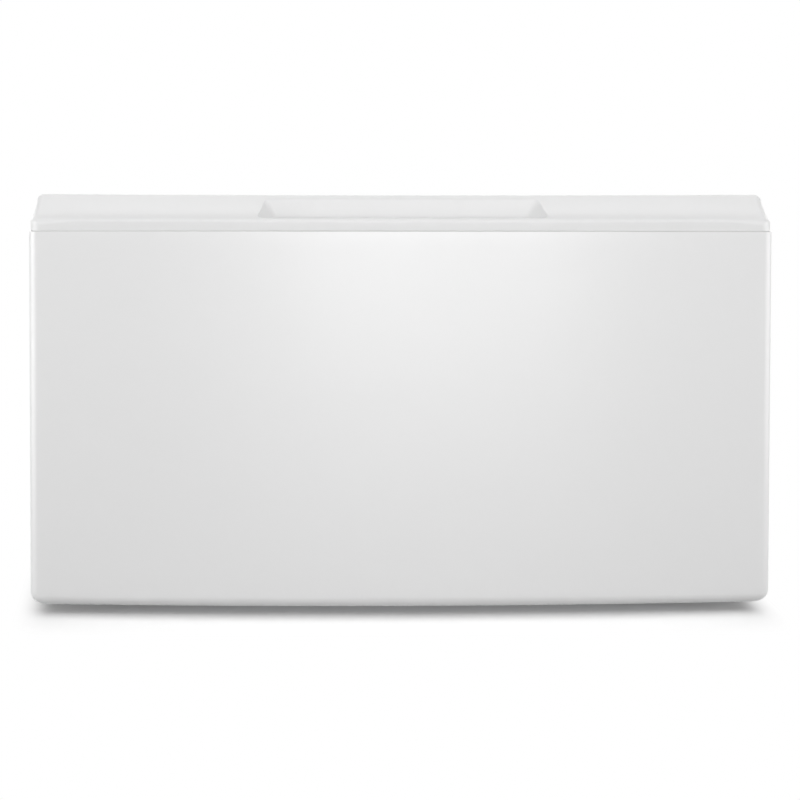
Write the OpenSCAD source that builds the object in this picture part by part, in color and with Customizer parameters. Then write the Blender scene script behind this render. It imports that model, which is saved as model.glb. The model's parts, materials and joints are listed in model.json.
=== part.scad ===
// Washer pedestal with a storage drawer.
// A steel cabinet on four levelling feet carries the appliance on its deck. The drawer runs out
// of the front on a pair of three-member ball slides behind a bowed front with a finger pocket.
// X runs to the right, Y to the back and Z up. The origin is on the floor under the middle.

/* [Overall] */
// Width of the drawer front, side to side
front_w = 686; // [676:1:700]
// Depth from the crown of the front to the back screws
depth = 650; // [640:1:680]
// Height from the floor to the top of the trim
height = 390; // [386:1:410]

/* [Drawer front] */
// How far the middle of the front bows out past its sides
bow = 26; // [18:1:28]
// Gap between the floor and the drawer front
floor_gap = 12; // [10:1:20]
// Thickness of the front assembly at its middle
front_deep = 63; // [62:0.5:64]
// Radius of the front's upright corners
corner_r = 9; // [7:0.5:11]
// Radius on which the front's lower edge curls under
bottom_r = 9; // [8:0.5:12]
// Radius of the front's lower corners, seen from the front
lower_corner_r = 12; // [10:0.5:14]
// Sheet thickness of the steel skin
skin_t = 0.9; // [0.8:0.1:1.2]

/* [Trim] */
// Height of the plastic trim above the steel skin
trim_h = 31.5; // [30:0.5:33]
// Height of the upright band below the trim's crest
band_h = 10.5; // [9:0.5:12]
// Depth of the sloping part of the trim
trim_deep = 38.5; // [37:0.5:39]
// How far each end of the trim draws in at its top
flare = 6; // [4:0.5:8]
// Wall thickness of the trim
trim_t = 2.5; // [2:0.1:3]
// Width of the finger pocket at its front wall
pocket_w = 267; // [258:1:280]
// Width of the finger pocket at its back wall
pocket_back_w = 253; // [252:1:256]
// Depth of the finger pocket below the crest
pocket_deep = 23; // [18:1:26]

/* [Cabinet] */
// Width of the cabinet
cabinet_w = 680; // [678:1:684]
// Height of the deck below the top of the trim
deck_drop = 24; // [23:1:26]
// Thickness of the cabinet's sheet steel
sheet = 1.2; // [1:0.1:1.2]
// Spacing of the appliance feet, side to side
dimple_x = 584; // [560:2:586]
// Spacing of the appliance feet, front to back
dimple_y = 470; // [440:2:474]

/* [Drawer box] */
// Outer width of the drawer box
box_w = 618; // [612:1:618]
// Height of the drawer box
box_h = 248; // [200:1:260]
// Length of the drawer box behind its front
box_l = 534; // [520:1:540]
// Sheet thickness of the drawer box
box_t = 0.9; // [0.8:0.1:1]

/* [Slides] */
// Length of each slide member
slide_l = 500; // [480:5:500]
// Height of the slides' middle above the floor
slide_z = 130; // [120:1:150]
// Balls in each row of a ball cage
ball_count = 12; // [8:1:14]

/* [Feet] */
// Diameter of a foot pad
pad_d = 40; // [36:1:42]
// Distance of the feet from the middle, side to side
foot_x = 300; // [290:1:305]

/* [Hidden] */
$fn = 48;
eps = 0.01;
front_y = -depth / 2;
seam_z = height - trim_h;
panel_back = front_y + front_deep;

// The bow: one upright cylinder whose surface is the front.
half_w = front_w / 2;
bow_r = (half_w * half_w + bow * bow) / (2 * bow);
bow_angle = 20;
bow_fn = 256;
bow_margin = 75;
corner_cx = half_w - corner_r;
// The corner circles stand this far proud of the bow, so that the two surfaces cross cleanly.
corner_lap = 0.15;
corner_cy = front_y + bow_r - sqrt(pow(bow_r - corner_r, 2) - pow(corner_cx, 2)) - corner_lap;

// Trim section, as depth behind the front and height.
crest_r = 4;
crest_z = seam_z + band_h;
top_r = 2;
// The slope's curve is pulled towards this depth and this height over the crest.
slope_pull_d = trim_deep * 0.55;
slope_pull_z = 3;
trim_corner_r = 5;
flange_t = 2.2;
lip_t = 5.5;
pocket_back = 33;
pocket_floor = crest_z - pocket_deep;
well_t = 2.2;
boss_x = [-300, -160, 160, 300];
boss_depth = 22;

// Cabinet.
cab_hw = cabinet_w / 2;
cab_in = cab_hw - sheet;
gap_front = 2;
cab_front = panel_back + gap_front;
screw_head_h = 2.2;
back_t = 1;
back_in = depth / 2 - screw_head_h - back_t;
deck_z = height - deck_drop;
deck_under = deck_z - sheet;
base_z = 20;
base_in = base_z + sheet;
base_flange_w = 62;
mouth_hw = 322;
dimple_r = 34;
dimple_deep = 3;
bolt_hole_r = 5.5;
// The rear dimples lie close to the back of the deck.
dimple_cy = back_in - dimple_r - 4 - dimple_y / 2;
rail_d = 30;
rail_h = 25;
rail_hw = cab_in - 1;
rail_front_y = cab_front + sheet;
bumper_z = [75, 318];
back_screw_z = [60, 195, 330];
rail_screw_z = [base_z + 14, deck_under - 14];

// Drawer box.
box_hw = box_w / 2;
box_z = 52;
box_top = box_z + box_h;
box_front = panel_back;
box_back = box_front + box_l;
hem_t = 2.7;
hem_h = 8;
flange_w = 15;
rib_h = 2.4;
divider_y = box_front + 250;
divider_h = 150;
rivet_z = [box_z + 30, box_z + box_h / 2, box_top - 40];
front_screw_z = [box_z + 28, box_z + box_h / 2, box_top - 28];

// Slides: u counts in from the cabinet side, v up from the slide's middle.
slide_y = box_front + 6;
slide_x = box_hw + 12.8;
member_t = 1.2;
outer_v = 22.6;
mid_v = 17.2;
inner_v = 11.8;
outer_ball_v = (outer_v - member_t + mid_v) / 2;
inner_ball_v = (mid_v - member_t + inner_v) / 2;
ball_r = 1.95;
ball_hole_r = 2;
outer_cage_u = [1.7, 9];
inner_cage_u = [4.9, 11];
cage_t = 0.8;
cage_l = 240;
cage_y = slide_y + (slide_l - cage_l) / 2;
ball_pitch = (cage_l - 20) / (ball_count - 1);
slide_screw_y = [40, 200, 440];
bracket_rivet_y = [20, 260, 500];
bracket_foot_v = 38;
lever_y = slide_y + 300;
lever_l = 34;
pivot_r = 1.5;

// Feet.
foot_front_y = front_y + 170;
foot_rear_y = depth / 2 - 62;
stud_r = 4.95;
stud_hole_r = 5;
stud_top = 48;
pad_h = 8;
collar_h = 6;
lock_nut_h = 5.6;
leg_plate_t = 2.5;
weld_nut_h = 8;

// Colours.
enamel = [0.93, 0.93, 0.93];
satin_white = [0.9, 0.9, 0.9];
zinc = [0.72, 0.74, 0.76];
bright_steel = [0.8, 0.8, 0.82];
dark_plastic = [0.12, 0.12, 0.13];
rubber_grey = [0.2, 0.2, 0.2];

// ---- Helpers ----

// Points along an arc about c
function arc(c, r, a0, a1, n = 6) =
    [for (i = [0:n]) let (a = a0 + (a1 - a0) * i / n) c + r * [cos(a), sin(a)]];

// Points along a curve from p to q that is pulled towards c
function curve(p, c, q, n = 6) =
    [for (i = [0:n]) let (t = i / n) (1 - t) * (1 - t) * p + 2 * t * (1 - t) * c + t * t * q];

// A box given by its low and high corners
module block(low, high) {
    translate(low)
        cube(high - low);
}

// The right-hand piece as drawn, or its mirror image for the left (side -1)
module on_side(side) {
    mirror([side < 0 ? 1 : 0, 0, 0])
        children();
}

// A cylinder along Y, starting at y
module along_y(x, y, z, r, h) {
    translate([x, y, z])
        rotate([-90, 0, 0])
            cylinder(r = r, h = h);
}

// A cylinder along X, starting at x
module along_x(x, y, z, r, h) {
    translate([x, y, z])
        rotate([0, 90, 0])
            cylinder(r = r, h = h);
}

// A washer-head screw that points up Z from the underside of its head
module screw(shank_r, length, head_r = 4, head_h = 2) {
    cylinder(r = shank_r, h = length);
    translate([0, 0, -head_h])
        cylinder(r = head_r, h = head_h);
}

// ---- Drawer front ----

// Turns a section, given as depth and height, about the bow's axis
module bow_sweep(section) {
    translate([0, front_y + bow_r, 0])
        rotate([0, 0, -90 - bow_angle / 2])
            rotate_extrude(angle = bow_angle, $fn = bow_fn)
                polygon([for (p = section) [bow_r - p[0], p[1]]]);
}

// Pushes an outline, given as width and height, back along Y
module push_back(outline, y0, y1) {
    translate([0, y1, 0])
        rotate([90, 0, 0])
            linear_extrude(y1 - y0)
                polygon(outline);
}

// Plan of the front: upright corners, and open past the bow in the middle
module plan_prism(inset, y_back) {
    hw = half_w - inset;
    r = corner_r - inset;
    linear_extrude(height + 20)
        polygon(concat(
            [[-hw, y_back]],
            arc([-corner_cx, corner_cy], r, 180, 270),
            [[-corner_cx, front_y - 5], [corner_cx, front_y - 5]],
            arc([corner_cx, corner_cy], r, 270, 360),
            [[hw, y_back]]
        ));
}

// Front view of the steel skin, drawn in by inset. Its corners turn in five steps where the
// section's turns in six, so that the two don't share heights where they cross.
function skin_outline(inset) =
    let (hw = half_w - inset, r = lower_corner_r - inset, z = floor_gap + lower_corner_r)
    concat(
        [[-hw, seam_z - inset]],
        arc([-half_w + lower_corner_r, z], r, 180, 270, 5),
        arc([half_w - lower_corner_r, z], r, 270, 360, 5),
        [[hw, seam_z - inset]]
    );

// Section of the steel skin, curled under at the bottom
function skin_section(inset) =
    concat(
        [[bow_margin, seam_z - inset], [inset, seam_z - inset]],
        arc([bottom_r, floor_gap + bottom_r], bottom_r - inset, 180, 270),
        [[bow_margin, floor_gap + inset]]
    );

// The solid that the steel skin wraps
module skin_block(inset, y_back) {
    intersection() {
        bow_sweep(skin_section(inset));
        plan_prism(inset, y_back);
        push_back(skin_outline(inset), front_y - 6, y_back);
    }
}

// Depth of the bowed front at x
function bow_y(x) = front_y + bow_r - sqrt(bow_r * bow_r - x * x);

module drawer_front_skin() {
    color(enamel)
        difference() {
            skin_block(0, panel_back);
            skin_block(skin_t, panel_back + 1);
            // Opening in the top flange for the finger pocket's well
            intersection() {
                bow_sweep([[2.6, seam_z - 3], [trim_deep + 2, seam_z - 3], [trim_deep + 2, seam_z + 1], [2.6, seam_z + 1]]);
                block([-pocket_w / 2 - 5, front_y, seam_z - 4], [pocket_w / 2 + 5, panel_back, seam_z + 2]);
            }
            for (x = boss_x)
                translate([x, bow_y(x) + boss_depth, seam_z - 3])
                    cylinder(r = 2.3, h = 4);
        }
}

// Trim section: upright band, rounded crest, concave slope and rounded top edge
function trim_section(z_low) =
    concat(
        [[0, z_low]],
        arc([crest_r, crest_z - crest_r], crest_r, 180, 110, 4),
        curve([crest_r, crest_z], [slope_pull_d, crest_z + slope_pull_z], [trim_deep - top_r, height - 0.5]),
        arc([trim_deep - top_r, height - top_r], top_r, 80, 0, 3),
        [[trim_deep, z_low]]
    );

// Section of the trim's hollow, which leaves a wall t thick
function hollow_section(t, z_low) =
    concat(
        [[t, z_low], [t, crest_z - crest_r]],
        curve([crest_r + t / 2, crest_z - t], [slope_pull_d + 0.6 * t, crest_z + slope_pull_z - 0.9 * t],
              [trim_deep - t, height - 1.8 * t]),
        [[trim_deep - t, z_low]]
    );

// Right-hand edge of the trim in front view, from the seam up
function trim_edge(inset, z_low) =
    let (hw = half_w - inset, z1 = height - inset, in_x = hw - flare)
    concat(
        [[hw, z_low]],
        curve([hw, crest_z - crest_r], [hw - flare * 0.9, crest_z], [in_x, z1 - trim_corner_r], 5),
        arc([in_x - trim_corner_r, z1 - trim_corner_r], trim_corner_r, 15, 90, 4)
    );

function flip_x(points) = [for (i = [len(points) - 1:-1:0]) [-points[i][0], points[i][1]]];

// A swept section, cut to the trim's plan and front view drawn in by inset
module trim_block(section, inset, z_low) {
    edge = trim_edge(inset, z_low);
    y_back = panel_back + 0.5;
    intersection() {
        bow_sweep(section);
        plan_prism(inset, y_back);
        push_back(concat(edge, flip_x(edge)), front_y - 6, y_back);
    }
}

// Finger pocket, grown by wall and cut off at z_top. Its ends splay out towards the front.
module pocket(wall, z_top) {
    z0 = pocket_floor - wall;
    splay = (pocket_w - pocket_back_w) / 2 / (pocket_back - lip_t);
    past = 15;
    front_hw = pocket_w / 2 + wall + splay * past;
    back_hw = pocket_back_w / 2 + wall - splay * past;
    y0 = bow_y(pocket_w / 2) + lip_t - past;
    y1 = bow_y(pocket_back_w / 2) + pocket_back + past;
    intersection() {
        bow_sweep([[lip_t - wall, z0], [pocket_back + wall, z0], [pocket_back + wall, z_top], [lip_t - wall, z_top]]);
        translate([0, 0, z0 - 1])
            linear_extrude(z_top - z0 + 2)
                polygon([[-front_hw, y0], [front_hw, y0], [back_hw, y1], [-back_hw, y1]]);
    }
}

// Screw bosses that hang from the slope down to the seam
module trim_bosses() {
    for (x = boss_x)
        translate([x, bow_y(x) + boss_depth, seam_z])
            difference() {
                cylinder(r = 4, h = trim_h);
                translate([0, 0, -1])
                    cylinder(r = 2, h = 10);
            }
}

module drawer_front_trim() {
    ledge_y = panel_back - 1;
    color(satin_white)
        difference() {
            union() {
                difference() {
                    trim_block(trim_section(seam_z), 0, seam_z);
                    trim_block(hollow_section(trim_t, seam_z - 1), trim_t, seam_z - 1);
                }
                intersection() {
                    trim_bosses();
                    trim_block(hollow_section(trim_t / 2, seam_z), trim_t / 2, seam_z);
                }
                // Ledge that covers the top of the front behind the slope
                intersection() {
                    bow_sweep([[trim_deep - 1, seam_z], [bow_margin, seam_z],
                               [bow_margin, seam_z + flange_t], [trim_deep - 1, seam_z + flange_t]]);
                    plan_prism(0, ledge_y);
                }
                intersection() {
                    pocket(well_t, height + 5);
                    trim_block(trim_section(pocket_floor - well_t - 1), 0, pocket_floor - well_t - 1);
                }
            }
            pocket(0, height + 5);
        }
}

module drawer_inner_front() {
    lap = 16;
    color(enamel)
        difference() {
            push_back(skin_outline(skin_t + 0.1), panel_back - lap, panel_back);
            push_back(skin_outline(skin_t + 1.1), panel_back - lap - 1, panel_back - 1);
            for (p = front_screw_places())
                along_y(p[0], panel_back - 2, p[1], 2.2, 3);
        }
}

// Screws that hold the drawer box to the inner front
function front_screw_places() =
    [for (s = [-1, 1], z = front_screw_z) [s * (box_hw - 8), z]];

// ---- Drawer box ----

module drawer_side(side) {
    on_side(side)
        difference() {
            union() {
                block([box_hw - box_t, box_front, box_z - box_t], [box_hw, box_back, box_top]);
                block([box_hw - hem_t, box_front + 1, box_top - hem_h], [box_hw, box_back - box_t, box_top]);
                block([box_hw - flange_w, box_front, box_z + 4], [box_hw, box_front + box_t, box_top - hem_h]);
                block([box_hw - flange_w, box_front, box_z - box_t], [box_hw, box_back, box_z]);
            }
            for (z = front_screw_z)
                along_y(box_hw - 8, box_front - 1, z, 2.2, 3);
            for (dy = slide_screw_y)
                along_x(box_hw - 3, slide_y + dy, slide_z, 2.2, 5);
            for (z = rivet_z)
                along_x(box_hw - 3, box_back - 8, z, 1.7, 5);
        }
}

module drawer_side_left() {
    color(enamel)
        drawer_side(-1);
}

module drawer_side_right() {
    color(enamel)
        drawer_side(1);
}

// Bottom pan with pressed ribs that run front to back
module drawer_bottom() {
    hw = box_hw - box_t;
    rib_w = 14;
    color(enamel) {
        block([-hw, box_front + 1, box_z], [hw, box_back - box_t, box_z + box_t]);
        for (x = [-210, -105, 0, 105, 210])
            block([x - rib_w / 2, box_front + 40, box_z], [x + rib_w / 2, box_back - 40, box_z + rib_h]);
    }
}

module drawer_back() {
    hw = box_hw - box_t;
    color(enamel)
        difference() {
            union() {
                block([-hw, box_back - box_t, box_z], [hw, box_back, box_top]);
                block([-hw + hem_t, box_back - hem_t, box_top - hem_h], [hw - hem_t, box_back, box_top]);
                for (s = [-1, 1])
                    block([s * (hw - 0.45) - 0.45, box_back - flange_w, box_z + 6],
                          [s * (hw - 0.45) + 0.45, box_back, box_top - hem_h - 2]);
            }
            for (s = [-1, 1], z = rivet_z)
                along_x(s * hw - 3, box_back - 8, z, 1.7, 6);
        }
}

// Lift-out divider with a stiff top edge and turned ends
module drawer_divider() {
    hw = box_hw - hem_t - 0.8;
    z = box_z + rib_h;
    color(satin_white) {
        block([-hw, divider_y - 1.2, z], [hw, divider_y + 1.2, z + divider_h]);
        block([-hw, divider_y - 4, z + divider_h - 5], [hw, divider_y + 4, z + divider_h]);
        for (s = [-1, 1])
            block([s * (hw - 1) - 1, divider_y - 8, z], [s * (hw - 1) + 1, divider_y + 8, z + divider_h]);
    }
}

module trim_screws() {
    color(zinc)
        for (x = boss_x)
            translate([x, bow_y(x) + boss_depth, seam_z - skin_t])
                screw(1.95, 9);
}

module front_panel_screws() {
    color(zinc)
        for (p = front_screw_places())
            translate([p[0], box_front + box_t, p[1]])
                rotate([90, 0, 0])
                    screw(2.15, 8);
}

module drawer_rivets() {
    color(bright_steel)
        for (s = [-1, 1], z = rivet_z)
            translate([s * box_hw, box_back - 8, z])
                rotate([0, -90 * s, 0])
                    screw(1.65, 3, 3.2, 1);
}

// ---- Slides ----

// A C-shaped member: web from u0, flanges at v reaching to u1
module member(u0, u1, v, lip) {
    x0 = slide_x - u0;
    translate([0, slide_y, slide_z]) {
        block([x0 - member_t, 0, -v], [x0, slide_l, v]);
        for (s = [-1, 1])
            block([slide_x - u1, 0, s * (v - member_t / 2) - member_t / 2],
                  [x0, slide_l, s * (v - member_t / 2) + member_t / 2]);
        if (lip > 0)
            for (s = [-1, 1])
                block([slide_x - u1, 0, s * (v - lip / 2) - lip / 2],
                      [slide_x - u1 + 1, slide_l, s * (v - lip / 2) + lip / 2]);
    }
}

module slide_screw_holes(x, r) {
    for (dy = slide_screw_y)
        along_x(x - 3, slide_y + dy, slide_z, r, 6);
}

module outer_member(side) {
    on_side(side)
        difference() {
            member(0, 10.6, outer_v, 2.6);
            slide_screw_holes(slide_x, 2.2);
        }
}

module outer_member_left() {
    color(zinc)
        outer_member(-1);
}

module outer_member_right() {
    color(zinc)
        outer_member(1);
}

module mid_member(side) {
    on_side(side)
        difference() {
            member(3.2, 10.6, mid_v, 0);
            slide_screw_holes(slide_x - 3.8, 4.5);
        }
}

module mid_member_left() {
    color(zinc)
        mid_member(-1);
}

module mid_member_right() {
    color(zinc)
        mid_member(1);
}

// The inner member faces the other way: its web lies on the drawer side
module inner_member(side) {
    on_side(side)
        difference() {
            translate([0, slide_y, slide_z]) {
                block([box_hw, 0, -inner_v], [box_hw + member_t, slide_l, inner_v]);
                for (s = [-1, 1])
                    block([box_hw, 0, s * (inner_v - member_t / 2) - member_t / 2],
                          [slide_x - 6.4, slide_l, s * (inner_v - member_t / 2) + member_t / 2]);
            }
            slide_screw_holes(box_hw, 2.2);
            along_x(box_hw - 1, lever_y, slide_z, pivot_r, 4);
        }
}

module inner_member_left() {
    color(zinc)
        inner_member(-1);
}

module inner_member_right() {
    color(zinc)
        inner_member(1);
}

// A ball cage: a strip with a flange above and below, pierced for the balls
module cage(side, u0, u1, v) {
    on_side(side)
        difference() {
            translate([0, cage_y, slide_z]) {
                block([slide_x - u0 - 0.7, 0, -v], [slide_x - u0, cage_l, v]);
                for (s = [-1, 1])
                    block([slide_x - u1, 0, s * v - cage_t / 2], [slide_x - u0, cage_l, s * v + cage_t / 2]);
            }
            for (i = [0:ball_count - 1], s = [-1, 1])
                translate([slide_x - (u0 + u1) / 2 - 0.4, cage_y + 10 + i * ball_pitch, slide_z + s * v - 2])
                    cylinder(r = ball_hole_r, h = 4);
        }
}

module balls(side, u0, u1, v) {
    on_side(side)
        for (i = [0:ball_count - 1], s = [-1, 1])
            translate([slide_x - (u0 + u1) / 2 - 0.4, cage_y + 10 + i * ball_pitch, slide_z + s * v])
                sphere(r = ball_r, $fn = 24);
}

module outer_cage_left() {
    color(bright_steel)
        cage(-1, outer_cage_u[0], outer_cage_u[1], outer_ball_v);
}

module outer_cage_right() {
    color(bright_steel)
        cage(1, outer_cage_u[0], outer_cage_u[1], outer_ball_v);
}

module inner_cage_left() {
    color(bright_steel)
        cage(-1, inner_cage_u[0], inner_cage_u[1], inner_ball_v);
}

module inner_cage_right() {
    color(bright_steel)
        cage(1, inner_cage_u[0], inner_cage_u[1], inner_ball_v);
}

module outer_balls_left() {
    color(bright_steel)
        balls(-1, outer_cage_u[0], outer_cage_u[1], outer_ball_v);
}

module outer_balls_right() {
    color(bright_steel)
        balls(1, outer_cage_u[0], outer_cage_u[1], outer_ball_v);
}

module inner_balls_left() {
    color(bright_steel)
        balls(-1, inner_cage_u[0], inner_cage_u[1], inner_ball_v);
}

module inner_balls_right() {
    color(bright_steel)
        balls(1, inner_cage_u[0], inner_cage_u[1], inner_ball_v);
}

// Release lever: frees the drawer from its slide
module release_lever(side) {
    x0 = box_hw + member_t + 0.4;
    on_side(side)
        difference() {
            union() {
                along_x(x0, lever_y, slide_z, 4, 2.4);
                block([x0, lever_y, slide_z - 3], [x0 + 2.4, lever_y + lever_l - 3, slide_z + 3]);
                along_x(x0, lever_y + lever_l - 3, slide_z, 3, 2.4);
            }
            along_x(x0 - 1, lever_y, slide_z, pivot_r + 0.05, 5);
        }
}

module release_lever_left() {
    color(dark_plastic)
        release_lever(-1);
}

module release_lever_right() {
    color(dark_plastic)
        release_lever(1);
}

module lever_pins() {
    color(bright_steel)
        for (side = [-1, 1])
            on_side(side) {
                along_x(box_hw, lever_y, slide_z, pivot_r, 4.4);
                along_x(box_hw + 4.2, lever_y, slide_z, 2.6, 0.7);
            }
}

module slide_screws_drawer() {
    color(zinc)
        for (side = [-1, 1], dy = slide_screw_y)
            on_side(side)
                translate([box_hw + member_t, slide_y + dy, slide_z])
                    rotate([0, -90, 0])
                        screw(2.15, 6, 4, 1.6);
}

module slide_screws_cabinet() {
    color(zinc)
        for (side = [-1, 1], dy = slide_screw_y)
            on_side(side)
                translate([slide_x - member_t, slide_y + dy, slide_z])
                    rotate([0, 90, 0])
                        screw(2.15, 7, 3.8, 0.4);
}

// ---- Cabinet ----

// Channel between the cabinet side and the slide
module slide_bracket(side) {
    z_half = bracket_foot_v - 6;
    y0 = slide_y;
    y1 = slide_y + slide_l + 20;
    on_side(side)
        translate([0, 0, slide_z])
            difference() {
                union() {
                    block([slide_x, y0, -z_half], [slide_x + sheet, y1, z_half]);
                    for (s = [-1, 1])
                        block([slide_x, y0, s * (z_half - sheet / 2) - sheet / 2],
                              [cab_in, y1, s * (z_half - sheet / 2) + sheet / 2]);
                    for (s = [-1, 1])
                        block([cab_in - sheet, y0, s * bracket_foot_v - 6.1], [cab_in, y1, s * bracket_foot_v + 6.1]);
                }
                for (dy = slide_screw_y)
                    along_x(slide_x - 1, y0 + dy, 0, 2.2, 3);
                for (dy = bracket_rivet_y, s = [-1, 1])
                    along_x(cab_in - 3, y0 + dy, s * bracket_foot_v, 2.2, 6);
            }
}

module slide_bracket_left() {
    color(zinc)
        slide_bracket(-1);
}

module slide_bracket_right() {
    color(zinc)
        slide_bracket(1);
}

// Rivets that end flush with the outside of the cabinet
module bracket_rivets() {
    color(zinc)
        for (side = [-1, 1], dy = bracket_rivet_y, s = [-1, 1])
            on_side(side)
                translate([cab_in - sheet, slide_y + dy, slide_z + s * bracket_foot_v])
                    rotate([0, 90, 0])
                        screw(2.15, 2 * sheet);
}

module cabinet_side(side) {
    on_side(side)
        difference() {
            union() {
                block([cab_in, cab_front, base_z], [cab_hw, back_in, deck_under]);
                block([cab_in - 10, cab_front, deck_under - sheet], [cab_hw, back_in, deck_under]);
                block([cab_in - base_flange_w, cab_front, base_z], [cab_hw, back_in, base_in]);
                block([mouth_hw, cab_front, base_z], [cab_hw, cab_front + sheet, deck_under]);
                block([cab_in - 20, back_in - sheet, base_z], [cab_hw, back_in, deck_under]);
            }
            for (y = [foot_front_y, foot_rear_y])
                translate([foot_x, y, base_z - 1])
                    cylinder(r = 7, h = 4);
            for (z = rail_screw_z)
                along_y(330, cab_front - 1, z, 2.2, 3);
            for (z = bumper_z)
                along_y(330, cab_front - 1, z, 2.6, 3);
            for (z = back_screw_z)
                along_y(cab_in - 10, back_in - 2, z, 2.2, 3);
            for (dy = bracket_rivet_y, s = [-1, 1])
                along_x(cab_in - 1, slide_y + dy, slide_z + s * bracket_foot_v, 2.2, 4);
        }
}

module cabinet_side_left() {
    color(enamel)
        cabinet_side(-1);
}

module cabinet_side_right() {
    color(enamel)
        cabinet_side(1);
}

// Back panel with pressed ribs
module cabinet_back() {
    hw = cab_in - 1;
    color(zinc)
        difference() {
            union() {
                block([-hw, back_in, base_z + 4], [hw, back_in + back_t, deck_under - 2]);
                for (x = [-220, -110, 0, 110, 220])
                    block([x - 9, back_in - 2, base_z + 45], [x + 9, back_in + back_t, deck_under - 45]);
            }
            for (x = [-220, -110, 0, 110, 220])
                block([x - 8, back_in - 1, base_z + 46], [x + 8, back_in + back_t + 1, deck_under - 46]);
            for (s = [-1, 1], z = back_screw_z)
                along_y(s * (cab_in - 10), back_in - 1, z, 2.2, 3);
        }
}

module back_screws() {
    color(zinc)
        for (s = [-1, 1], z = back_screw_z)
            translate([s * (cab_in - 10), back_in + back_t, z])
                rotate([90, 0, 0])
                    screw(2.15, 8, 4, screw_head_h);
}

// Deck with a pressed dimple for each appliance foot and a bolt hole in each dimple
module deck() {
    lip_z = deck_under - 28;
    color(enamel)
        difference() {
            union() {
                block([-cab_hw, cab_front, deck_under], [cab_hw, back_in, deck_z]);
                block([-mouth_hw + 1, cab_front, lip_z], [mouth_hw - 1, cab_front + sheet, deck_z]);
                for (x = [-1, 1], y = [-1, 1])
                    translate([x * dimple_x / 2, dimple_cy + y * dimple_y / 2, deck_under - dimple_deep])
                        cylinder(r = dimple_r + sheet, h = dimple_deep + eps, $fn = 72);
            }
            for (x = [-1, 1], y = [-1, 1])
                translate([x * dimple_x / 2, dimple_cy + y * dimple_y / 2, 0]) {
                    translate([0, 0, deck_z - dimple_deep])
                        cylinder(r = dimple_r, h = dimple_deep + 1, $fn = 72);
                    translate([0, 0, deck_under - dimple_deep - 1])
                        cylinder(r = bolt_hole_r, h = 6);
                }
        }
}

// Hat-shaped channel under the deck
module deck_stiffener(side) {
    x = 190;
    deep = 24;
    y0 = cab_front + rail_d + 8;
    y1 = back_in - 32;
    on_side(side)
        difference() {
            block([x - 26, y0, deck_under - deep], [x + 26, y1, deck_under]);
            block([x - 26 + sheet, y0 - 1, deck_under - deep + sheet], [x + 26 - sheet, y1 + 1, deck_under + 1]);
        }
}

module deck_stiffener_left() {
    color(zinc)
        deck_stiffener(-1);
}

module deck_stiffener_right() {
    color(zinc)
        deck_stiffener(1);
}

// A channel across the cabinet, open to the back, with its web at y0
module cross_rail(hw, y0, z0, z1, toward) {
    y1 = y0 + toward * rail_d;
    lo = min(y0, y1);
    hi = max(y0, y1);
    web = toward > 0 ? y0 : y0 - sheet;
    block([-hw, web, z0], [hw, web + sheet, z1]);
    block([-hw + 19, lo, z0], [hw - 19, hi, z0 + sheet]);
    block([-hw + 19, lo, z1 - sheet], [hw - 19, hi, z1]);
}

module front_top_rail() {
    color(zinc)
        difference() {
            cross_rail(rail_hw, rail_front_y, deck_under - rail_h - 4, deck_under - sheet, 1);
            for (s = [-1, 1])
                along_y(s * 330, rail_front_y - 1, rail_screw_z[1], 2.2, 3);
        }
}

module front_bottom_rail() {
    color(zinc)
        difference() {
            cross_rail(rail_hw, rail_front_y, base_in, base_in + rail_h, 1);
            for (s = [-1, 1])
                along_y(s * 330, rail_front_y - 1, rail_screw_z[0], 2.2, 3);
        }
}

module rear_bottom_rail() {
    color(zinc)
        cross_rail(rail_hw, back_in - sheet, base_in, base_in + rail_h, -1);
}

module rail_screws() {
    color(zinc)
        for (s = [-1, 1], z = rail_screw_z)
            translate([s * 330, cab_front, z])
                rotate([-90, 0, 0])
                    screw(2.15, 8, 3.8, 1.4);
}

// Rubber stops that meet the drawer front as it closes
module drawer_bumpers() {
    color(rubber_grey)
        for (s = [-1, 1], z = bumper_z) {
            along_y(s * 330, cab_front - 1.8, z, 5, 1.8);
            along_y(s * 330, cab_front - eps, z, 2.55, 4);
        }
}

// ---- Feet ----

module at_each_foot() {
    for (x = [-1, 1], y = [foot_front_y, foot_rear_y])
        translate([x * foot_x, y, 0])
            children();
}

// Corner plates that spread the load of each foot
module leg_brackets() {
    color(zinc)
        at_each_foot()
            difference() {
                translate([-22, -22, base_in])
                    cube([44, 44, leg_plate_t]);
                translate([0, 0, base_in - 1])
                    cylinder(r = 5.6, h = leg_plate_t + 2);
            }
}

module hex_nut(r, h) {
    difference() {
        cylinder(r = r, h = h, $fn = 6);
        translate([0, 0, -1])
            cylinder(r = stud_hole_r, h = h + 2);
    }
}

module leg_nuts() {
    color(zinc)
        at_each_foot()
            translate([0, 0, base_in + leg_plate_t])
                hex_nut(9.8, weld_nut_h);
}

module lock_nuts() {
    color(zinc)
        at_each_foot()
            translate([0, 0, base_z - lock_nut_h])
                hex_nut(9.8, lock_nut_h);
}

// Threaded stud with a hexagon for a spanner
module levelling_foot(x, y) {
    translate([x, y, 0]) {
        translate([0, 0, pad_h - 4])
            cylinder(r = stud_r, h = stud_top - pad_h + 4);
        translate([0, 0, pad_h])
            cylinder(r = 9.2, h = collar_h, $fn = 6);
    }
}

// Foot pad: a stepped disc that grips the stud's end
module foot_pad(x, y) {
    translate([x, y, 0])
        difference() {
            union() {
                translate([0, 0, 1.5])
                    cylinder(r = pad_d / 2, h = 3);
                cylinder(r = pad_d / 2 - 1.5, h = 4);
                cylinder(r = 13, h = pad_h);
            }
            translate([0, 0, pad_h - 4])
                cylinder(r = stud_r, h = 5);
        }
}

module levelling_foot_front_left() {
    color(zinc)
        levelling_foot(-foot_x, foot_front_y);
}

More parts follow.
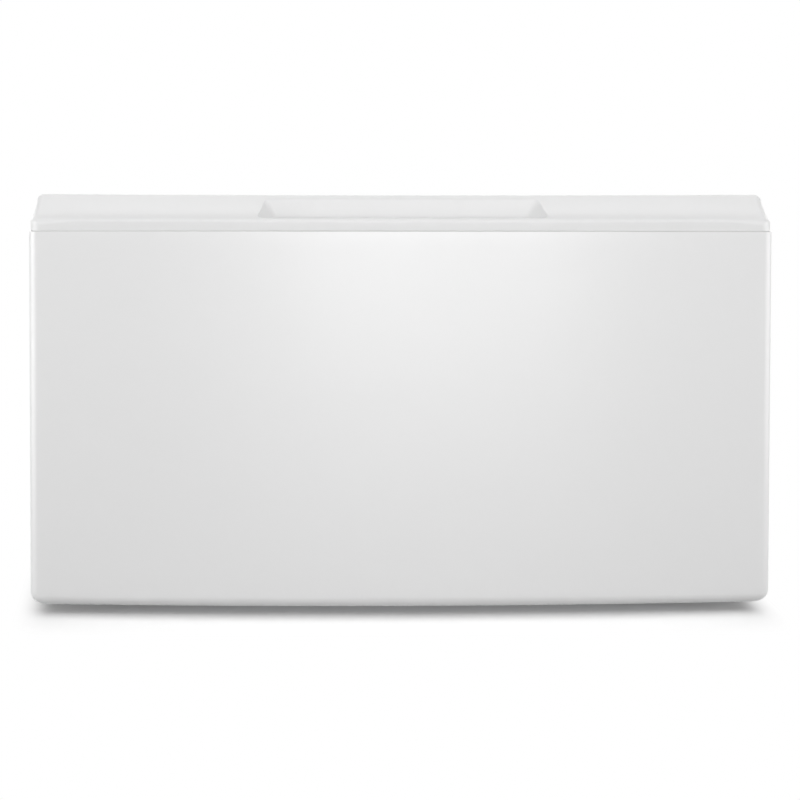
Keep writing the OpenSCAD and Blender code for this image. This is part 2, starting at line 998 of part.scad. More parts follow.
module levelling_foot_front_right() {
    color(zinc)
        levelling_foot(foot_x, foot_front_y);
}

module levelling_foot_rear_left() {
    color(zinc)
        levelling_foot(-foot_x, foot_rear_y);
}

module levelling_foot_rear_right() {
    color(zinc)
        levelling_foot(foot_x, foot_rear_y);
}

module foot_pad_front_left() {
    color(rubber_grey)
        foot_pad(-foot_x, foot_front_y);
}

module foot_pad_front_right() {
    color(rubber_grey)
        foot_pad(foot_x, foot_front_y);
}

module foot_pad_rear_left() {
    color(rubber_grey)
        foot_pad(-foot_x, foot_rear_y);
}

module foot_pad_rear_right() {
    color(rubber_grey)
        foot_pad(foot_x, foot_rear_y);
}

drawer_front_skin();
drawer_front_trim();
drawer_inner_front();
drawer_side_left();
drawer_side_right();
drawer_bottom();
drawer_back();
drawer_divider();
trim_screws();
front_panel_screws();
drawer_rivets();
slide_screws_drawer();
inner_member_left();
inner_member_right();
lever_pins();
release_lever_left();
release_lever_right();
mid_member_left();
mid_member_right();
outer_cage_left();
outer_cage_right();
inner_cage_left();
inner_cage_right();
outer_balls_left();
outer_balls_right();
inner_balls_left();
inner_balls_right();
outer_member_left();
outer_member_right();
slide_bracket_left();
slide_bracket_right();
slide_screws_cabinet();
bracket_rivets();
cabinet_side_left();
cabinet_side_right();
cabinet_back();
back_screws();
deck();
deck_stiffener_left();
deck_stiffener_right();
front_top_rail();
front_bottom_rail();
rear_bottom_rail();
rail_screws();
drawer_bumpers();
leg_brackets();
leg_nuts();
lock_nuts();
levelling_foot_front_left();
levelling_foot_front_right();
levelling_foot_rear_left();
levelling_foot_rear_right();
foot_pad_front_left();
foot_pad_front_right();
foot_pad_rear_left();
foot_pad_rear_right();
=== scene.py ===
# %% [markdown]
# # A laundry pedestal with a bowed drawer front
#
# The pedestal lifts a washing machine off the floor and keeps a full-width drawer under it. What
# the room sees is one bowed sheet of gloss white enamelled steel with a white plastic trim on top,
# and in the trim a pocket for the fingers. This lesson builds the surfaces of that object round a
# fixed frame: the frame holds every part at its true size, and each piece made here stands exactly
# where its part stands and moves with it.

# %% Load the frame
import json
import math

import bmesh
import bpy
from mathutils import Euler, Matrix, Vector
from mathutils.geometry import delaunay_2d_cdt

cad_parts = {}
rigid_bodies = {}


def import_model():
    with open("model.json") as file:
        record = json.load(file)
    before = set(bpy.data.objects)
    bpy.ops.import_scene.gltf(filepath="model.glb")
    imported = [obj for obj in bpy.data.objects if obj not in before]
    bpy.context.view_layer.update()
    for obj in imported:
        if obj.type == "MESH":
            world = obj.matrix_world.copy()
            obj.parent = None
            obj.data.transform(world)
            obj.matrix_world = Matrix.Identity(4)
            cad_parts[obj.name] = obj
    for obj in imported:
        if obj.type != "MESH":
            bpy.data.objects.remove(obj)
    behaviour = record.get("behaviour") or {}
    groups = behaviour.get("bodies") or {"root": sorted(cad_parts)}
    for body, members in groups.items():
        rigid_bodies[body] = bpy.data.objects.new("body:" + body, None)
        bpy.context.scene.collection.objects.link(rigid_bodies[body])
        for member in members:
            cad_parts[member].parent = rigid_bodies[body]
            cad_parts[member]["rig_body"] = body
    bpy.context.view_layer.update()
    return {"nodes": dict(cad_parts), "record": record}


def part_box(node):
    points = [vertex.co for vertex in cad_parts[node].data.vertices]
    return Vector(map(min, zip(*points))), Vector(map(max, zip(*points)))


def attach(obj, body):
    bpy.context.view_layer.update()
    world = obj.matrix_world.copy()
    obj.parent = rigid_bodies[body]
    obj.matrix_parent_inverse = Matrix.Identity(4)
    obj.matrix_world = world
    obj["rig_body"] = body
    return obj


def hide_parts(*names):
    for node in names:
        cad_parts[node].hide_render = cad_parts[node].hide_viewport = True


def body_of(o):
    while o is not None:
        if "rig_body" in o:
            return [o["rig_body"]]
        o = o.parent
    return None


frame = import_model()
NODES = frame["nodes"]

# %% [markdown]
# ## Sizes
#
# All sizes are in metres. The driving ones are read from the frame, so a piece can't drift away
# from the part that it stands for. The bow is a shallow cylinder that stands upright: one radius
# follows from the front's width and from how far its middle stands proud of its sides.

# %% Sizes of the drawer front
MM = 0.001
skin_low, skin_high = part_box("drawer_front_skin")
HALF_W = skin_high.x
FRONT_Y = skin_low.y
PANEL_BACK = skin_high.y
GAP_Z = skin_low.z
SEAM_Z = skin_high.z
TOP_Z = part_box("drawer_front_trim")[1].z
BOW = 26 * MM
BOW_R = (HALF_W**2 + BOW**2) / (2 * BOW)
BOW_CENTRE_Y = FRONT_Y + BOW_R
UPRIGHT_R = 9 * MM
print(f"front {2 * HALF_W:.3f} wide, bow radius {BOW_R:.2f}")
print(f"seam at {SEAM_Z:.4f}, top at {TOP_Z:.3f}")


def bow_y(x, inset=0.0):
    """Where the bowed face is at x, drawn back into the object by inset."""
    return BOW_CENTRE_Y - math.sqrt((BOW_R - inset) ** 2 - x * x)


def arc(centre, radius, start, end, steps):
    """Points on an arc in a section, with angles in degrees."""
    turn = [math.radians(start + (end - start) * i / steps) for i in range(steps + 1)]
    return [(centre[0] + radius * math.cos(a), centre[1] + radius * math.sin(a)) for a in turn]


# %% [markdown]
# ## The camera
#
# The picture of such a front is taken nearly straight on with a long lens from about four metres,
# so its upright edges stay nearly parallel. The camera stands a little higher than the trim and
# looks slightly down, which shows the slope of the trim and the back wall of the finger pocket. It
# also stands 0.2 m left of the middle, which shows more of the pocket's right end.

# %% Camera
CAMERA_AWAY = 4.0
CAMERA_RISE = 0.135
CAMERA_LEFT = 0.2
CAMERA_FIELD = math.radians(10.445)
CAMERA_DIP = math.radians(4.59)
CAMERA_YAW = math.radians(2.82)
CAMERA_ROLL = math.radians(0.15)

scene = bpy.context.scene
camera_data = bpy.data.cameras.new("camera")
camera_data.sensor_fit = "HORIZONTAL"
camera_data.angle = CAMERA_FIELD
camera = bpy.data.objects.new("camera", camera_data)
camera.location = (-CAMERA_LEFT, FRONT_Y - CAMERA_AWAY, TOP_Z + CAMERA_RISE)
facing = Euler((math.pi / 2 - CAMERA_DIP, 0, -CAMERA_YAW)).to_matrix()
camera.rotation_euler = (facing @ Euler((0, 0, CAMERA_ROLL)).to_matrix()).to_euler()
scene.collection.objects.link(camera)
scene.camera = camera
scene.view_settings.view_transform = "Standard"
print("camera at", [round(v, 3) for v in camera.location])

# %% [markdown]
# ## Node helpers
#
# A finish is a small network of shader nodes. These helpers keep each network short: one adds a
# node with its values, one starts a material with its Principled shader ready, and two more make a
# node group and place it in a material.


# %% Node helpers
def add_node(tree, kind, values=None, **settings):
    """A node of that kind, with its settings and its input values."""
    node = tree.nodes.new(kind)
    for name, value in settings.items():
        setattr(node, name, value)
    for name, value in (values or {}).items():
        node.inputs[name].default_value = value
    return node


def new_material(name, values):
    """A material with a Principled shader, and the pieces needed to wire it up."""
    material = bpy.data.materials.new(name)
    material.use_nodes = True
    tree = material.node_tree
    shader = tree.nodes["Principled BSDF"]
    for socket, value in values.items():
        shader.inputs[socket].default_value = value
    return material, tree, shader


def new_group(name, inputs, outputs):
    """An empty node group with named sockets, given as name: (type, default)."""
    group = bpy.data.node_groups.new(name, "ShaderNodeTree")
    for socket_name, (kind, default) in inputs.items():
        socket = group.interface.new_socket(socket_name, in_out="INPUT", socket_type=kind)
        socket.default_value = default
    for socket_name, kind in outputs.items():
        group.interface.new_socket(socket_name, in_out="OUTPUT", socket_type=kind)
    return group, group.nodes.new("NodeGroupInput"), group.nodes.new("NodeGroupOutput")


def place_group(tree, group, values):
    """A group placed in a material with its own values."""
    return add_node(tree, "ShaderNodeGroup", values, node_tree=group)


FLOAT = "NodeSocketFloat"
COLOUR = "NodeSocketColor"
VECTOR = "NodeSocketVector"

# %% [markdown]
# ## Effects that several finishes share
#
# Sprayed enamel, moulded plastic and rolled steel all have a fine relief that only shows where a
# highlight breaks up. One group makes it from noise in the object's own space, so a grain is the
# same real size on every part. Its inputs are how many grains there are to a metre, how deep they
# are, and how much finer detail they carry. A second group makes the slow cloudiness of handling
# and dust, as a colour and a roughness.


# %% Group: surface relief
def build_relief():
    group, inlet, outlet = new_group(
        "surface relief",
        {"Grains per metre": (FLOAT, 500.0), "Depth": (FLOAT, 0.0001), "Detail": (FLOAT, 2.0)},
        {"Normal": VECTOR},
    )
    place = add_node(group, "ShaderNodeTexCoord")
    noise = add_node(group, "ShaderNodeTexNoise", {"Roughness": 0.5})
    bump = add_node(group, "ShaderNodeBump", {"Strength": 1.0})
    link = group.links.new
    link(place.outputs["Object"], noise.inputs["Vector"])
    link(inlet.outputs["Grains per metre"], noise.inputs["Scale"])
    link(inlet.outputs["Detail"], noise.inputs["Detail"])
    link(noise.outputs["Fac"], bump.inputs["Height"])
    link(inlet.outputs["Depth"], bump.inputs["Distance"])
    link(bump.outputs["Normal"], outlet.inputs["Normal"])
    return group


def build_clouding():
    group, inlet, outlet = new_group(
        "handling clouds",
        {
            "Light colour": (COLOUR, (0.9, 0.9, 0.9, 1)),
            "Dark colour": (COLOUR, (0.8, 0.8, 0.8, 1)),
            "Low roughness": (FLOAT, 0.2),
            "High roughness": (FLOAT, 0.3),
            "Patches per metre": (FLOAT, 9.0),
        },
        {"Colour": COLOUR, "Roughness": FLOAT},
    )
    place = add_node(group, "ShaderNodeTexCoord")
    noise = add_node(group, "ShaderNodeTexNoise", {"Detail": 5.0, "Roughness": 0.55})
    mix = add_node(group, "ShaderNodeMix", data_type="RGBA")
    span = add_node(group, "ShaderNodeMapRange", {"From Min": 0.3, "From Max": 0.7})
    link = group.links.new
    link(place.outputs["Object"], noise.inputs["Vector"])
    link(inlet.outputs["Patches per metre"], noise.inputs["Scale"])
    link(noise.outputs["Fac"], mix.inputs["Factor"])
    link(inlet.outputs["Light colour"], mix.inputs["A"])
    link(inlet.outputs["Dark colour"], mix.inputs["B"])
    link(noise.outputs["Fac"], span.inputs["Value"])
    link(inlet.outputs["Low roughness"], span.inputs["To Min"])
    link(inlet.outputs["High roughness"], span.inputs["To Max"])
    link(mix.outputs["Result"], outlet.inputs["Colour"])
    link(span.outputs["Result"], outlet.inputs["Roughness"])
    return group


RELIEF = build_relief()
CLOUDING = build_clouding()
print("groups:", [g.name for g in bpy.data.node_groups])

# %% [markdown]
# ## The finishes
#
# The drawer's sheet steel is sprayed with white enamel and fired, which leaves a clear gloss over a
# very faint orange peel. The cabinet's sides and deck have the same white with much less gloss. The
# trim is moulded in a white plastic with a fine satin texture, so its highlights are a little wider.
# Behind the front the maker spends less: the slides, the rails and the back are galvanised sheet,
# whose zinc freezes in large crystals, and the screws are bright zinc plated. Enamel and plastic
# share one function, and each value that doesn't vary over the surface sits on the shader's own
# socket.


# %% Painted and moulded finishes
COAT_ROUGHNESS = 0.3


def grey(level):
    return (level, level, level, 1)


def clouded_finish(name, light, dark, low, high, grains, depth, coat=0.0, specular=0.5):
    """A colour from light to dark and a roughness from low to high, over a fine relief."""
    sheen = {"Coat Weight": coat, "Coat Roughness": COAT_ROUGHNESS, "Specular IOR Level": specular}
    material, tree, shader = new_material(name, sheen)
    clouds = place_group(
        tree,
        CLOUDING,
        {"Light colour": light, "Dark colour": dark, "Low roughness": low, "High roughness": high},
    )
    grain = place_group(tree, RELIEF, {"Grains per metre": grains, "Depth": depth})
    link = tree.links.new
    link(clouds.outputs["Colour"], shader.inputs["Base Color"])
    link(clouds.outputs["Roughness"], shader.inputs["Roughness"])
    link(grain.outputs["Normal"], shader.inputs["Normal"])
    return material


def fired_enamel(name, coat, specular):
    white = {"light": grey(0.885), "dark": grey(0.875), "low": 0.36, "high": 0.42}
    peel = {"grains": 260.0, "depth": 0.04 * MM}
    return clouded_finish(name, **white, **peel, coat=coat, specular=specular)


# %% [markdown]
# ## Bare metal
#
# Galvanised sheet is a patchwork of crystals, each with its own tilt, so each mirrors the room a
# little differently. A Voronoi texture gives every crystal its own random values, which shift its
# colour and its roughness. The same network with tiny cells and less contrast is a plated screw.


# %% Bare metals
METAL_GRAINS = 900.0


def crystal_metal(name, light, dark, cells, low, high, depth=0.02 * MM):
    material, tree, shader = new_material(name, {"Metallic": 1.0})
    place = add_node(tree, "ShaderNodeTexCoord")
    crystals = add_node(tree, "ShaderNodeTexVoronoi", {"Scale": cells, "Randomness": 1.0})
    shade = add_node(tree, "ShaderNodeSeparateColor")
    mix = add_node(tree, "ShaderNodeMix", {"A": light, "B": dark}, data_type="RGBA")
    span = add_node(tree, "ShaderNodeMapRange", {"To Min": low, "To Max": high})
    relief = place_group(tree, RELIEF, {"Grains per metre": METAL_GRAINS, "Depth": depth})
    link = tree.links.new
    link(place.outputs["Object"], crystals.inputs["Vector"])
    link(crystals.outputs["Color"], shade.inputs["Color"])
    link(shade.outputs["Red"], mix.inputs["Factor"])
    link(mix.outputs["Result"], shader.inputs["Base Color"])
    link(shade.outputs["Green"], span.inputs["Value"])
    link(span.outputs["Result"], shader.inputs["Roughness"])
    link(relief.outputs["Normal"], shader.inputs["Normal"])
    return material


# %% One finish for each slot
FINISHES = {
    "enamel": fired_enamel("gloss enamel", coat=1.0, specular=0.8),
    "white_plastic": clouded_finish(
        "satin white plastic",
        light=grey(0.91),
        dark=grey(0.90),
        low=0.36,
        high=0.44,
        grains=1400.0,
        depth=0.03 * MM,
        coat=0.8,
    ),
    "zinc_steel": crystal_metal(
        "galvanised sheet",
        light=(0.58, 0.60, 0.62, 1),
        dark=(0.44, 0.46, 0.48, 1),
        cells=120.0,
        low=0.34,
        high=0.5,
    ),
    "fastener_steel": crystal_metal(
        "bright zinc plate",
        light=(0.78, 0.79, 0.80, 1),
        dark=(0.66, 0.67, 0.70, 1),
        cells=700.0,
        low=0.22,
        high=0.34,
    ),
    "cage_steel": crystal_metal(
        "oiled strip steel",
        light=(0.70, 0.67, 0.60, 1),
        dark=(0.60, 0.57, 0.50, 1),
        cells=260.0,
        low=0.28,
        high=0.42,
    ),
    "ball_steel": crystal_metal(
        "polished steel",
        light=grey(0.82),
        dark=(0.76, 0.76, 0.77, 1),
        cells=900.0,
        low=0.08,
        high=0.14,
        depth=0.01 * MM,
    ),
    "black_plastic": clouded_finish(
        "black plastic",
        light=(0.035, 0.035, 0.036, 1),
        dark=(0.025, 0.025, 0.026, 1),
        low=0.42,
        high=0.55,
        grains=1100.0,
        depth=0.1 * MM,
    ),
    "rubber": clouded_finish(
        "dark rubber",
        light=grey(0.06),
        dark=grey(0.045),
        low=0.65,
        high=0.8,
        grains=700.0,
        depth=0.2 * MM,
    ),
}
PLAIN_ENAMEL = fired_enamel("plain enamel", coat=0.15, specular=0.35)


def finish_of(slot, body):
    """The finish for a slot. The cabinet's enamel has less gloss than the drawer's."""
    return PLAIN_ENAMEL if slot == "enamel" and body == "cabinet" else FINISHES[slot]


print("finishes:", sorted(FINISHES))

# %% [markdown]
# ## The parts that keep their frame shape
#
# Most parts behind the front are folded sheet, and their frame shape is already right. Folded and
# sheared edges are never razor sharp, so each part gets a small bevel that catches a line of light.
# The frame's separate triangles are first welded and joined to whole flat faces, since a bevel needs
# shared edges and would otherwise run along the slivers between them. Normals weighted by area keep
# the flat faces flat right up to their bevels.

# %% Finish and bevel the frame's parts
EDGE_BREAK = 0.35 * MM
WELD_WITHIN = 0.01 * MM
FLAT_WITHIN = math.radians(0.5)
EDGE_ANGLE = math.radians(38)
LARGE_FACES_FIRST = 100
SUBPARTS = frame["record"]["subparts"]

for row in SUBPARTS:
    part = NODES[row["node"]]
    part.material_slots[0].material = finish_of(row["material_slot"], body_of(part)[0])
    weld = part.modifiers.new("join", "WELD")
    weld.merge_threshold = WELD_WITHIN
    plane = part.modifiers.new("whole faces", "DECIMATE")
    plane.decimate_type = "DISSOLVE"
    plane.angle_limit = FLAT_WITHIN
    bevel = part.modifiers.new("edge break", "BEVEL")
    bevel.width = EDGE_BREAK
    bevel.segments = 2
    bevel.limit_method = "ANGLE"
    bevel.angle_limit = EDGE_ANGLE
    flat = part.modifiers.new("flat faces", "WEIGHTED_NORMAL")
    flat.weight = LARGE_FACES_FIRST
print("bevelled", len(SUBPARTS), "parts")

# %% [markdown]
# ## Making a piece
#
# Every modelled piece ends the same way: its points and faces become a mesh with outward normals,
# edges sharper than an angle stay crisp, sheet gets its thickness, and the piece is tied to its
# body and its finish, while the frame part that it stands for is hidden.


# %% Make a piece
MERGE_WITHIN = 0.002 * MM
SLIVER = 0.001 * MM


def make_piece(name, points, faces, body, slot, nodes, thickness=0.0, crisp=40.0, facing=None):
    """A finished piece. A flat sheet has no outside, so facing says which way its front looks."""
    mesh = bpy.data.meshes.new(name)
    build = bmesh.new()
    corners = [build.verts.new(p) for p in points]
    for face in faces:
        build.faces.new([corners[i] for i in face])
    bmesh.ops.remove_doubles(build, verts=build.verts, dist=MERGE_WITHIN)
    bmesh.ops.dissolve_degenerate(build, edges=build.edges, dist=SLIVER)
    bmesh.ops.recalc_face_normals(build, faces=build.faces)
    if facing:
        build.faces.ensure_lookup_table()
        if sum((f.normal * f.calc_area() for f in build.faces), Vector()).dot(facing) < 0:
            bmesh.ops.reverse_faces(build, faces=build.faces)
    build.to_mesh(mesh)
    build.free()
    mesh.shade_smooth()
    mesh.set_sharp_from_angle(angle=math.radians(crisp))
    piece = bpy.data.objects.new(name, mesh)
    scene.collection.objects.link(piece)
    piece.data.materials.append(finish_of(slot, body))
    if thickness:
        shell = piece.modifiers.new("thickness", "SOLIDIFY")
        shell.thickness = thickness
        shell.offset = -1.0
    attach(piece, body)
    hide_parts(*nodes)
    print(f"{name}: {len(mesh.vertices)} points, {len(mesh.polygons)} faces")


def grid_faces(rows, columns):
    """Faces between the points of a grid that is stored row after row."""
    return [
        (r * columns + c, r * columns + c + 1, (r + 1) * columns + c + 1, (r + 1) * columns + c)
        for r in range(rows - 1)
        for c in range(columns - 1)
    ]


# %% [markdown]
# ## The steel skin
#
# The skin is drawn from one sheet: bowed across its width, turned back at both sides, and curled
# under at the bottom on the same radius. Its top is folded back tightly to a flange, which is cut
# short where the finger pocket comes down behind it. A stack of plan outlines makes it, one for each
# level. The outline is drawn in as the bottom curls under, while its corners keep their radius,
# which is how pressed steel flows, and so the three curves meet without a crease. Seen from the
# front the lower corners have a larger radius than the curl, so the sides are drawn in further.
#
# The seam to the trim shows as a hairline, and it isn't quite level: it hangs lower towards both
# ends. That droop fades out over the upper part of the face.

# %% The steel skin
CURL_R = 9 * MM
LOWER_CORNER_R = 12 * MM
TOP_FOLD_R = 0.6 * MM
SEAM_GAP = 0.1 * MM
SEAM_DROOP = 1.3 * MM
DROOP_FADE = 60 * MM
FLANGE_REACH = 30 * MM
WELL_GAP = 3 * MM
POCKET_OPENING = 141 * MM
SHEET_T = 0.9 * MM
BOW_STEPS = 72
CORNER_STEPS = 10
FOLD_STEPS = 6
CURL_STEPS = 12
# Height of the face's own levels, as a share of the way from the curl to the fold.
FACE_SHARES = (0.97, 0.75, 0.5, 0.25, 0.03, 0.008)


def front_plan(inset, side_inset):
    """Plan outline of the front, from the left side's back edge round to the right one's."""
    half = HALF_W - side_inset
    centre_x = half - UPRIGHT_R
    reach = BOW_R - inset - UPRIGHT_R
    centre_y = BOW_CENTRE_Y - math.sqrt(reach**2 - centre_x**2)
    tilt = math.degrees(math.asin(centre_x / reach))
    side = [(half, PANEL_BACK), (half, (PANEL_BACK + centre_y) / 2)]
    corner = arc((centre_x, centre_y), UPRIGHT_R, 0, tilt - 90, CORNER_STEPS)
    right = side + corner
    bow = arc((0, BOW_CENTRE_Y), BOW_R - inset, -90 - tilt, tilt - 90, BOW_STEPS)[1:-1]
    return [(-x, y) for x, y in right] + bow + right[::-1]


def side_curl(z):
    """How far the sides are drawn in at height z, on the larger radius of the lower corners."""
    rise = GAP_Z + LOWER_CORNER_R - z
    return LOWER_CORNER_R - math.sqrt(LOWER_CORNER_R**2 - rise**2) if rise > 0 else 0.0


def droop(x):
    """How far the seam hangs at x: it sinks a little towards both ends."""
    return SEAM_DROOP * (x / HALF_W) ** 2


def skin_levels():
    """Inset of the face, inset of the sides and height of each level, from the top flange down."""
    fold_z = SEAM_Z - SEAM_GAP - TOP_FOLD_R
    fold = arc((TOP_FOLD_R, fold_z), TOP_FOLD_R, 90, 180, FOLD_STEPS)
    curl = arc((CURL_R, GAP_Z + CURL_R), CURL_R, 180, 270, CURL_STEPS)
    drop = fold[-1][1] - curl[0][1]
    face = [(0.0, curl[0][1] + drop * share) for share in FACE_SHARES]
    folded = [(inset, inset, z) for inset, z in fold]
    return folded + [(inset, side_curl(z), z) for inset, z in face + curl]


def make_skin():
    points = []
    for x, y in front_plan(FLANGE_REACH, FLANGE_REACH):
        if abs(x) < POCKET_OPENING:
            y = bow_y(x, WELL_GAP)
        points.append((x, y, SEAM_Z - SEAM_GAP - droop(x)))
    levels = skin_levels()
    for inset, side_inset, z in levels:
        hang = max(0.0, 1 - (SEAM_Z - z) / DROOP_FADE)
        points += [(x, y, z - droop(x) * hang) for x, y in front_plan(inset, side_inset)]
    width = len(front_plan(0, 0))
    faces = grid_faces(len(levels) + 1, width)
    bottom = len(levels) * width
    faces.append(tuple(range(bottom, bottom + width)))
    make_piece("steel_skin", points, faces, "drawer", "enamel", ["drawer_front_skin"], SHEET_T)


make_skin()

# %% [markdown]
# ## The plastic trim
#
# The trim is one moulding. From the seam up it has a short band that leans out a little, a rounded
# crest, a hollow slope that rises to the back, and a narrow rounded top edge. Its section is a list
# of points, and the piece is that section repeated across the bow. Its foot hangs with the seam,
# and its top edge stays level. Both ends draw in as they rise and are closed by a rounded edge, so
# each section point also says how far it sinks where the end is turned.

# %% Section of the trim
BAND_BACK = 0.8 * MM
BAND_SIDE = 1.3 * MM
BAND_PULL_DEPTH = 0.15 * MM
BAND_PULL_RISE = 0.8
BAND_SHARES = (0.25, 0.5, 0.75)
FOOT_R = 0.6 * MM
FOOT_STEPS = 4
CREST_R = 3.2 * MM
CREST_Z = 11.3 * MM
TRIM_H = TOP_Z - SEAM_Z
TRIM_DEEP = 38.5 * MM
TOP_R = 1.5 * MM
TURN_STEPS = 9
SLOPE_START = 15.0
SLOPE_END = 47.0
LEDGE_Z = 2.2 * MM
LEDGE_BACK = PANEL_BACK - 1 * MM
CREST_SINK = 1.2 * MM
TOP_SINK = 5 * MM
END_R = 6 * MM
END_PULL_IN = 4 * MM
END_PULL_RISE = 0.6 * MM
END_TOP_IN = 7.6 * MM
STRAIGHT = 1e-12


def line_meet(p, angle_p, q, angle_q):
    """Where the line through p and the line through q meet, each with its angle in degrees."""
    a = math.tan(math.radians(angle_p))
    b = math.tan(math.radians(angle_q))
    x = (q[1] - p[1] + a * p[0] - b * q[0]) / (a - b)
    return (x, p[1] + a * (x - p[0]))


def on_curve(p, c, q, t):
    """The point at t on the curve from p to q that is pulled towards c."""
    return tuple((1 - t) ** 2 * p[i] + 2 * t * (1 - t) * c[i] + t * t * q[i] for i in (0, 1))


def curve_share(p, c, q, value):
    """The share t along a curve, by one coordinate, where it reaches value."""
    a = p - 2 * c + q
    b = 2 * (c - p)
    if abs(a) < STRAIGHT:
        return (value - p) / b
    return (-b + math.sqrt(b * b - 4 * a * (p - value))) / (2 * a)


crest_centre = (CREST_R, CREST_Z - CREST_R)
crest_arc = arc(crest_centre, CREST_R, 180, 90 + SLOPE_START, TURN_STEPS)
top_centre = (TRIM_DEEP - TOP_R, TRIM_H - TOP_R)
top_arc = arc(top_centre, TOP_R, 90 + SLOPE_END, 0, TURN_STEPS)
slope_p = crest_arc[-1]
slope_q = top_arc[0]
slope_c = line_meet(slope_p, SLOPE_START, slope_q, SLOPE_END)


def slope_z(depth):
    """Height of the slope over the seam at that depth behind the bow."""
    t = curve_share(slope_p[0], slope_c[0], slope_q[0], depth)
    return on_curve(slope_p, slope_c, slope_q, t)[1]


def end_x(z):
    """Half width of the trim at height z over the seam."""
    low = (HALF_W - BAND_SIDE, CREST_Z - CREST_R)
    pull = (HALF_W - END_PULL_IN, CREST_Z + END_PULL_RISE)
    high = (HALF_W - END_TOP_IN, TRIM_H - TOP_SINK)
    if z <= low[1]:
        return low[0]
    if z >= high[1]:
        return high[0]
    return on_curve(low, pull, high, curve_share(low[1], pull[1], high[1], z))[0]


# Share along the slope of each of its levels. The first and the last bound the finger pocket.
SLOPE_SHARES = [0.02, 0.05, 0.09, 0.14, 0.22, 0.33, 0.45, 0.58, 0.7, 0.8, 0.88, 0.93, 0.97]


def corner_sink(depth):
    """How far a point at that depth draws back where the upright corner turns."""
    return UPRIGHT_R * (1 - depth / TRIM_DEEP) ** 2


def front_levels():
    """Section points that have a partner on the back.

    Each is its depth and height, how far it sinks back and down at an end, and the end's radius.
    """
    foot = arc((BAND_BACK + FOOT_R, FOOT_R), FOOT_R, 270, 180, FOOT_STEPS)
    band_q = (0.0, CREST_Z - CREST_R)
    band_c = (BAND_PULL_DEPTH, BAND_PULL_RISE * band_q[1])
    band = [on_curve(foot[-1], band_c, band_q, t) for t in BAND_SHARES]
    levels = [(d, z, UPRIGHT_R, 0.0, UPRIGHT_R) for d, z in foot + band]
    for i, (d, z) in enumerate(crest_arc):
        share = i / (len(crest_arc) - 1)
        radius = UPRIGHT_R + (END_R - UPRIGHT_R) * share
        levels.append((d, z, corner_sink(d), CREST_SINK * share, radius))
    for t in SLOPE_SHARES:
        d, z = on_curve(slope_p, slope_c, slope_q, t)
        down = CREST_SINK + (TOP_SINK - CREST_SINK) * t
        levels.append((d, z, corner_sink(d), down, END_R))
    return levels


LEVELS = front_levels()
HOLE_LOW = len(LEVELS) - len(SLOPE_SHARES)
HOLE_HIGH = len(LEVELS) - 1
# The levels of the foot, up to this one, have their partner on the back of the ledge.
LEDGE_LEVELS = FOOT_STEPS
print("trim levels:", len(LEVELS), "slope pull point", [round(v / MM, 1) for v in slope_c])

# %% [markdown]
# ## The finger pocket
#
# The pocket is sunk into the slope. Its outline is a rounded trapezoid whose ends splay out towards
# the front. The slope's grid leaves out the faces there, and rings take their place: the first ring
# lies on the slope, the next ones turn the rim over, run down the wall and turn into the floor. Each
# point on the hole's edge has one point on every ring, so the walls are made of quads, and the floor
# is one face. A mould has to come out again, so the walls draw in towards the floor: the back wall
# leans forward and the two end walls lean in.

# %% Outline of the finger pocket
POCKET_FRONT = 5.5 * MM
POCKET_BACK = 33 * MM
POCKET_FRONT_HALF = 135 * MM
POCKET_BACK_HALF = 126.5 * MM
POCKET_FLOOR = -12.5 * MM
POCKET_CORNER_R = 6 * MM
RIM_R = 1.1 * MM
FLOOR_R = 3 * MM
DRAFT = 0.3 * MM
WALL_LEAN = 2.5 * MM
END_LEAN = 0.16
HALF_CORNER_STEPS = 3
RIM_STEPS = 4
FLOOR_STEPS = 5
WALL_SHARES = (0.3, 0.65, 1.0)
SPLAY = (POCKET_FRONT_HALF - POCKET_BACK_HALF) / (POCKET_BACK - POCKET_FRONT)
SPLAY_ANGLE = math.degrees(math.atan(SPLAY))
SLANT = math.sqrt(1 + SPLAY * SPLAY)

# Places of the section across the right half, close together round the pocket's corner and at the
# end. The last one of the corner bounds the hole.
middle_x = [9 * MM * i for i in range(14)]
corner_x = [124 * MM, 128.5 * MM, 131 * MM, 133.5 * MM, 136 * MM]
outer_x = [(148 + 12.6 * i) * MM for i in range(13)]
end_columns = [309 * MM, 318 * MM, 326 * MM, HALF_W - UPRIGHT_R]
RIGHT_X = middle_x + corner_x + outer_x + end_columns
COLUMNS = len(RIGHT_X) - 1
HOLE_COLUMN = len(middle_x + corner_x) - 1
STRETCH_FROM = 300 * MM
END_STEPS = 8


def pocket_half(depth):
    """Half width of the pocket at a depth behind the bow."""
    return POCKET_FRONT_HALF - SPLAY * (depth - POCKET_FRONT)


def pocket_corner(depth, angle, offset):
    """A point on a right-hand corner of the outline, grown by offset."""
    centre = (pocket_half(depth) - POCKET_CORNER_R * SLANT, depth)
    a = math.radians(angle)
    r = POCKET_CORNER_R + offset
    return (centre[0] + r * math.cos(a), centre[1] + r * math.sin(a))


